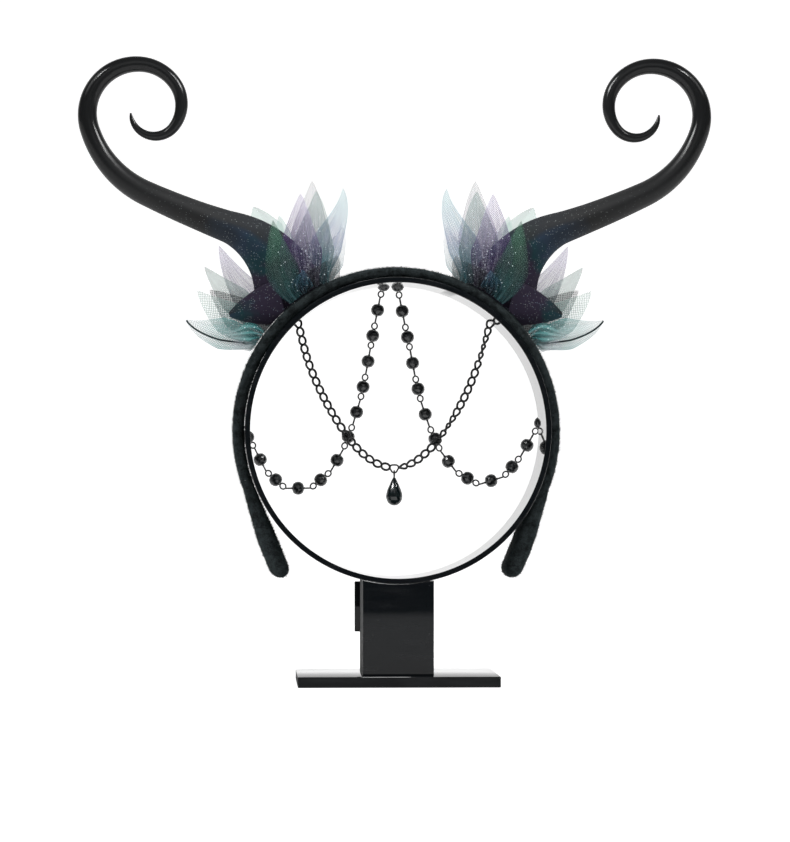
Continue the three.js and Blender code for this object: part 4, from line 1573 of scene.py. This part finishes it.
@dataclass
class BeadStrings:
    """Two strings of faceted glass beads on pins whose eyes hook into each other."""

    bead: float = 6.5
    pitch: float = 12.4
    wire: float = 0.75
    eye_width: float = 3.4
    bite: float = 0.14
    neck: float = 1.1
    pole: float = 0.46
    flattened: float = 0.93
    sides: int = 12
    rows: int = 8
    routes: dict[Side, tuple[tuple[float, float, float], ...]] = field(
        default_factory=lambda: {
            Side.LEFT: (
                (-3.5, 1.9, 75.8), (-6.5, 5, 64.5), (-11.2, 5.5, 40), (-16.1, 5.9, 15), (-23.9, 6.2, -8),
                (-31, 6.2, -20.2), (-40, 6.2, -27.4), (-50.5, 6.2, -28), (-60.2, 6.2, -20.6),
                (-66.4, 5, -8.8), (-73.2, 1.9, 2.2),
            ),
            Side.RIGHT: (
                (0.7, 1.9, 75.8), (2.6, 5, 64.5), (7.6, 5.5, 40), (12.8, 5.9, 15), (20.9, 6.2, -6.6),
                (28.6, 6.2, -18.2), (39.6, 6.2, -25.5), (51.5, 6.2, -22.8), (60.4, 6.2, -13),
                (67.4, 5, -0.9), (73.6, 1.9, 9.1),
            ),
        }
    )

    def faceted(self) -> Piece:
        """Makes one round bead whose rows of facets are turned by half a facet.

        Returns:
            The bead.
        """
        Bench.clear()
        bpy.ops.mesh.primitive_uv_sphere_add(
            segments=self.sides,
            ring_count=self.rows,
            radius=self.bead / 2 * MM,
            rotation=(0, math.pi / 2, 0),
        )
        bead = Bench.claim("bead_ball")
        Bench.settle(bead)
        spots = np.array([v.co for v in bead.data.vertices])
        heights = np.clip(spots[:, 0] / (self.bead / 2 * MM), -1, 1)
        rows = np.rint(np.arccos(heights) / (math.pi / self.rows))
        turn = np.where(rows % 2 == 1, math.pi / self.sides, 0.0)
        flatten = np.where(np.abs(spots[:, 0]) > self.pole * self.bead * MM, self.flattened, 1.0)
        y = spots[:, 1] * np.cos(turn) - spots[:, 2] * np.sin(turn)
        z = spots[:, 1] * np.sin(turn) + spots[:, 2] * np.cos(turn)
        bead.data.vertices.foreach_set("co", np.stack([spots[:, 0] * flatten, y, z], axis=1).ravel())
        bead.data.update()
        Bench.modify(bead, "TRIANGULATE")
        Bench.modify(bead, "DECIMATE", decimate_type="DISSOLVE", angle_limit=math.radians(4))
        Bench.bevel(bead, 0.05 * MM, 1, 8)
        return bead

    def unit(self) -> list[Piece]:
        """Makes one bead, and the wire loop of an eye at each end.

        Returns:
            The bead, the eyes and the neck.
        """
        end = (self.pitch + self.wire - self.bite) / 2
        start = self.pole * self.bead
        loops = []
        for sign in (-1, 1):
            loop = Bench.wire_loop("eye", end - start + 0.2, self.eye_width, self.wire)
            loop.data.transform(Matrix.Translation(metres(sign * (end + start - 0.2) / 2, 0, 0)))
            loops.append(loop)
        ends = np.array([[-start - 0.3, 0, 0], [start + 0.3, 0, 0]])
        neck = Bench.swept("neck", ends, self.neck, sides=10)
        return [self.faceted(), *loops, neck]

    def build(self) -> None:
        """Builds both strings."""
        glass = built(JetGlass("jet_glass"))
        wire = built(DarkMetal("pin_wire", (0.016, 0.017, 0.018), (0.07, 0.072, 0.075), 0.32))
        parts = self.unit()
        for part, finish in zip(parts, (glass, wire, wire, wire)):
            part.data.materials.append(finish)
        unit = Bench.join(parts, "bead_unit")
        jump = Bench.wire_loop("jump_ring", self.eye_width, self.eye_width, self.wire)
        jump.data.materials.append(wire)
        for side in Side:
            route = Route([(x, PLAN.far_rim + y, PLAN.ring_axis + z) for x, y, z in self.routes[side]])
            joints = route.spaced(self.pitch)
            made = []
            for i, (here, there) in enumerate(zip(joints, joints[1:])):
                stretch = np.linalg.norm(there - here) / self.pitch
                place = facing((here + there) / 2, there - here, 0 if i % 2 == 0 else 90)
                made.append(Bench.copy(unit, place @ Matrix.Scale(stretch, 4, Vector((1, 0, 0)))))
            last = len(joints) - 1
            reach = (self.eye_width - 2 * self.wire + self.bite) / 2
            for end, following, roll in ((0, 1, 90), (last, last - 1, 90 if (last - 1) % 2 == 0 else 0)):
                ahead = joints[following] - joints[end]
                centre = joints[end] - reach * ahead / np.linalg.norm(ahead)
                made.append(Bench.copy(jump, facing(centre, ahead, roll)))
            string = Bench.join(made, f"beads_{side.label}")
            Bench.hand_over(string, None, "jet_beads", [f"bead_string_{side.label}"])
        for pattern in (unit, jump):
            bpy.data.objects.remove(pattern, do_unlink=True)


@dataclass
class CurbChain:
    """Fine curb chain in two halves, and the link in their middle that holds the pendant."""

    length: float = 5.2
    width: float = 4.2
    wire: float = 1.1
    rise: float = 0.5
    pitch: float = 4.1
    height: float = 2.2
    drop: float = 20.4
    centre_size: float = 4.6
    centre_wire: float = 0.8
    routes: dict[Side, tuple[tuple[float, float], ...]] = field(
        default_factory=lambda: {
            Side.LEFT: (
                (-47.6, 57.4), (-46, 51.8), (-41.4, 34), (-35.5, 19.6),
                (-27.6, 5.2), (-17.8, -8.2), (-8.4, -15.6),
            ),
            Side.RIGHT: (
                (47.6, 57.4), (46, 51.8), (40.8, 34), (35.3, 19.6),
                (27.6, 5.2), (18.2, -7.6), (8.4, -15.6),
            ),
        }
    )
    rolls: dict[Side, tuple[float, ...]] = field(
        default_factory=lambda: {
            Side.LEFT: (
                0, 12, 0, -8, 0, 10, 18, 8, 0, -10, 0, 12, 20, 8, 0, -12, -6, 8, 14, 20, 10, 0,
            ),
            Side.RIGHT: (
                0, 10, 35, 62, 78, 70, 42, 15, 0, -8, 0, 10, 34, 62, 78, 60, 30, 8, 0, 10, 28, 55,
            ),
        }
    )

    @property
    def plane(self) -> float:
        """Y of the plane in which the chain hangs."""
        return PLAN.far_rim + PLAN.clearance + self.height / 2

    def half(self, side: Side, link: Piece) -> Piece:
        """Hangs one half of the chain from its links.

        Args:
            side: the half's side.
            link: the pattern link.

        Returns:
            The half chain.
        """
        route = [(x, self.plane, PLAN.ring_axis + z) for x, z in self.routes[side]]
        end = self.centre_size / 2 - 0.2
        height = PLAN.ring_axis - self.drop + self.centre_size * 0.62
        route.append((side.value * end, self.plane, height))
        marks = Route(route).spaced(self.pitch)
        rolls = self.rolls[side]
        made = []
        for i, (here, there) in enumerate(zip(marks, marks[1:])):
            place = facing((here + there) / 2, there - here, rolls[i % len(rolls)])
            made.append(Bench.copy(link, place))
        return Bench.join(made, f"curb_links_{side.label}")

    def centre(self) -> Piece:
        """Makes the middle link, a rounded triangle with its point down.

        Returns:
            The link.
        """
        radius = (self.centre_size - self.centre_wire) / 2
        turn = np.linspace(0, 2 * np.pi, 30, endpoint=False)
        wide = radius * (1 + 0.12 * np.cos(3 * (turn + np.pi / 2)))
        line = np.stack([wide * np.cos(turn) * 1.05, 0 * turn, wide * np.sin(turn)], axis=1)
        bottom = line[:, 2].min()
        line += np.array([0, self.plane, PLAN.ring_axis - self.drop + self.centre_wire / 2 - bottom])
        return Bench.swept("centre_loop", line, self.centre_wire, closed=True)

    def build(self) -> None:
        """Builds the chain's halves and its middle link."""
        black = built(DarkMetal("blackened_chain"))
        link = Bench.wire_loop("curb_link", self.length, self.width, self.wire, self.rise)
        for side in Side:
            half = self.half(side, link)
            Bench.smooth(half, 60)
            Bench.hand_over(half, black, "gunmetal", [f"curb_chain_{side.label}"])
        bpy.data.objects.remove(link, do_unlink=True)
        centre = self.centre()
        Bench.smooth(centre, 60)
        Bench.hand_over(centre, black, "gunmetal", ["chain_centre_link"])


@dataclass
class Pendant:
    """Faceted glass teardrop on its bail, hanging from the middle link."""

    length: float = 13.5
    width: float = 8.0
    bail: float = 4.1
    bail_wire: float = 0.7
    chain: CurbChain = field(default_factory=CurbChain)
    profile: tuple[tuple[float, float], ...] = (
        (0.12, 0.008), (0.26, 0.045), (0.38, 0.11), (0.46, 0.2), (0.5, 0.32), (0.475, 0.44),
        (0.40, 0.58), (0.29, 0.73), (0.18, 0.87), (0.10, 0.96), (0.05, 1.0),
    )

    def build(self) -> None:
        """Builds the drop and the bail as one hanging piece."""
        plane = self.chain.plane
        pivot = PLAN.ring_axis - self.chain.drop + self.chain.centre_wire / 2
        radius = (self.bail - self.bail_wire) / 2
        centre = pivot + self.chain.centre_wire / 2 + PLAN.clearance + self.bail_wire / 2 - radius
        loop = Bench.wire_loop("bail_loop", self.bail, self.bail * 0.8, self.bail_wire)
        upright = Matrix.Rotation(math.pi, 4, "Z") @ Matrix.Rotation(math.pi / 2, 4, "Y")
        loop.data.transform(Matrix.Translation(metres(0, plane, centre)) @ upright)
        foot = centre - radius + self.bail_wire / 4 - self.length
        radii, heights = np.array(self.profile).T

        def place(u: np.ndarray, v: np.ndarray) -> np.ndarray:
            """Puts the grid's points on the teardrop.

            Args:
                u: shares along the grid.
                v: shares round or across it.

            Returns:
                The points, in millimetres.
            """
            turn = 2 * np.pi * v
            row = np.rint(u * (len(heights) - 1)).astype(int)
            shift = np.where(row % 2 == 1, math.pi / 14, 0.0)
            wide = radii[row] * self.width
            x, y = wide * np.cos(turn + shift), plane + wide * np.sin(turn + shift)
            return np.stack([x, y, foot + heights[row] * self.length], axis=1)

        drop = Bench.bent_grid("glass_drop", len(heights) - 1, 14, place)
        Bench.close_tube(drop)
        Bench.bevel(drop, 0.08 * MM, 2, 6)
        Bench.smooth(drop, 12)
        Bench.smooth(loop, 60)
        glass = JetGlass("jet_drop", (0.004, 0.008, 0.009), (0.012, 0.02, 0.022))
        drop.data.materials.append(built(glass))
        loop.data.materials.append(built(DarkMetal("blackened_chain")))
        made = Bench.join([drop, loop], "teardrop_pendant")
        Bench.hand_over(made, None, "jet_drop", ["pendant"], SWINGING)


@dataclass
class Studio:
    """White sweep, soft lights and the camera."""

    camera: tuple[float, float, float] = (-74, -1723, 109)
    target: tuple[float, float, float] = (-0.65, 0, 123.6)
    lens: float = 156.3
    sensor: float = 36
    glow: float = 0.62
    room: float = 0.13
    floor_front: float = -0.78
    floor_back: float = 3.0
    lights: tuple[tuple, ...] = (
        ("centre", (0, -60, 345), (52, 52), 0.3, 250),
        ("top_left", (-900, -900, 1300), (170, 110), 8.5, 250),
        ("top_right", (900, -900, 1300), (170, 110), 8.5, 250),
        ("key_left", (-1500, -700, 1500), (900, 900), 8, 160),
        ("key_right", (1500, -700, 1500), (900, 900), 8, 160),
        ("front", (0, -2400, 1500), (1500, 1500), 6, 160),
    )

    def build(self) -> None:
        """Builds the floor, the lights and the camera."""
        self.sweep()
        for row in self.lights:
            self.light(*row)
        self.world()
        Bench.clear()
        bpy.ops.object.camera_add(location=metres(*self.camera))
        camera = Bench.claim("picture_camera")
        camera.data.lens = self.lens
        camera.data.sensor_width = self.sensor
        Bench.aim(camera, metres(*self.target))
        bpy.context.scene.camera = camera

    def sweep(self) -> None:
        """Makes the pale floor that curves up behind the object."""
        Bench.clear()
        middle = (self.floor_front + self.floor_back) / 2
        bpy.ops.mesh.primitive_plane_add(size=1, location=(0, middle, -0.0002))
        floor = Bench.claim("floor_sweep")
        floor.scale = (12, self.floor_back - self.floor_front, 1)
        Bench.settle(floor)
        bpy.ops.object.mode_set(mode="EDIT")
        bpy.ops.mesh.select_all(action="DESELECT")
        bpy.ops.mesh.select_mode(type="EDGE")
        bpy.ops.object.mode_set(mode="OBJECT")
        for edge in floor.data.edges:
            ends = [floor.data.vertices[i].co.y for i in edge.vertices]
            edge.select = min(ends) > self.floor_back - 0.1
        bpy.ops.object.mode_set(mode="EDIT")
        bpy.ops.mesh.extrude_region_move(TRANSFORM_OT_translate={"value": (0, 0, 5)})
        bpy.ops.mesh.select_mode(type="VERT")
        bpy.ops.object.mode_set(mode="OBJECT")
        Bench.bevel(floor, 1.6, 24)
        Bench.smooth(floor, 180)
        paper = NodeSheet("white_paper")
        paper.fixed(Roughness=0.9, Specular_IOR_Level=0.1)
        paper.fixed(Emission_Color=(1, 1, 1), Emission_Strength=self.glow)
        grain = paper.noise(paper.place(), 3, 2.0)
        paper.link(paper.ramp(grain, (0.3, (0.90, 0.90, 0.90)), (0.7, (0.93, 0.93, 0.93))), "Base Color")
        floor.data.materials.append(paper.material)

    def light(
        self, name: str, spot: Sequence[float], size: tuple[float, float], power: float, height: float
    ) -> None:
        """Adds a soft light of a given width and depth that faces a height over the middle.

        Args:
            name: name of the light.
            spot: its place.
            size: its width and depth.
            power: watts.
            height: the height that it faces.
        """
        Bench.clear()
        bpy.ops.object.light_add(type="AREA", location=metres(*spot))
        lamp = Bench.claim(name)
        lamp.data.energy = power
        lamp.data.shape = "RECTANGLE"
        lamp.data.size = size[0] * MM
        lamp.data.size_y = size[1] * MM
        lamp.visible_camera = False
        Bench.aim(lamp, metres(0, 0, height))

    def world(self) -> None:
        """Gives the room an even pale light."""
        world = bpy.context.scene.world or bpy.data.worlds.new("room")
        bpy.context.scene.world = world
        world.use_nodes = True
        back = next(n for n in world.node_tree.nodes if n.type == "BACKGROUND")
        back.inputs["Color"].default_value = (1, 1, 1, 1)
        back.inputs["Strength"].default_value = self.room
        bpy.context.scene.view_settings.view_transform = "Standard"


def main() -> None:
    """Builds the object and its studio, and logs each maker as it is built."""
    logging.basicConfig(level=logging.INFO, format="%(name)s %(message)s")
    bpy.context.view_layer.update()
    Studio().build()
    for maker in (Stand(), VelvetBand(), Tentacle(), Petals(), BeadStrings(), CurbChain(), Pendant()):
        maker.build()
        LOG.info("%s built", type(maker).__name__)


if __name__ == "__main__":
    main()
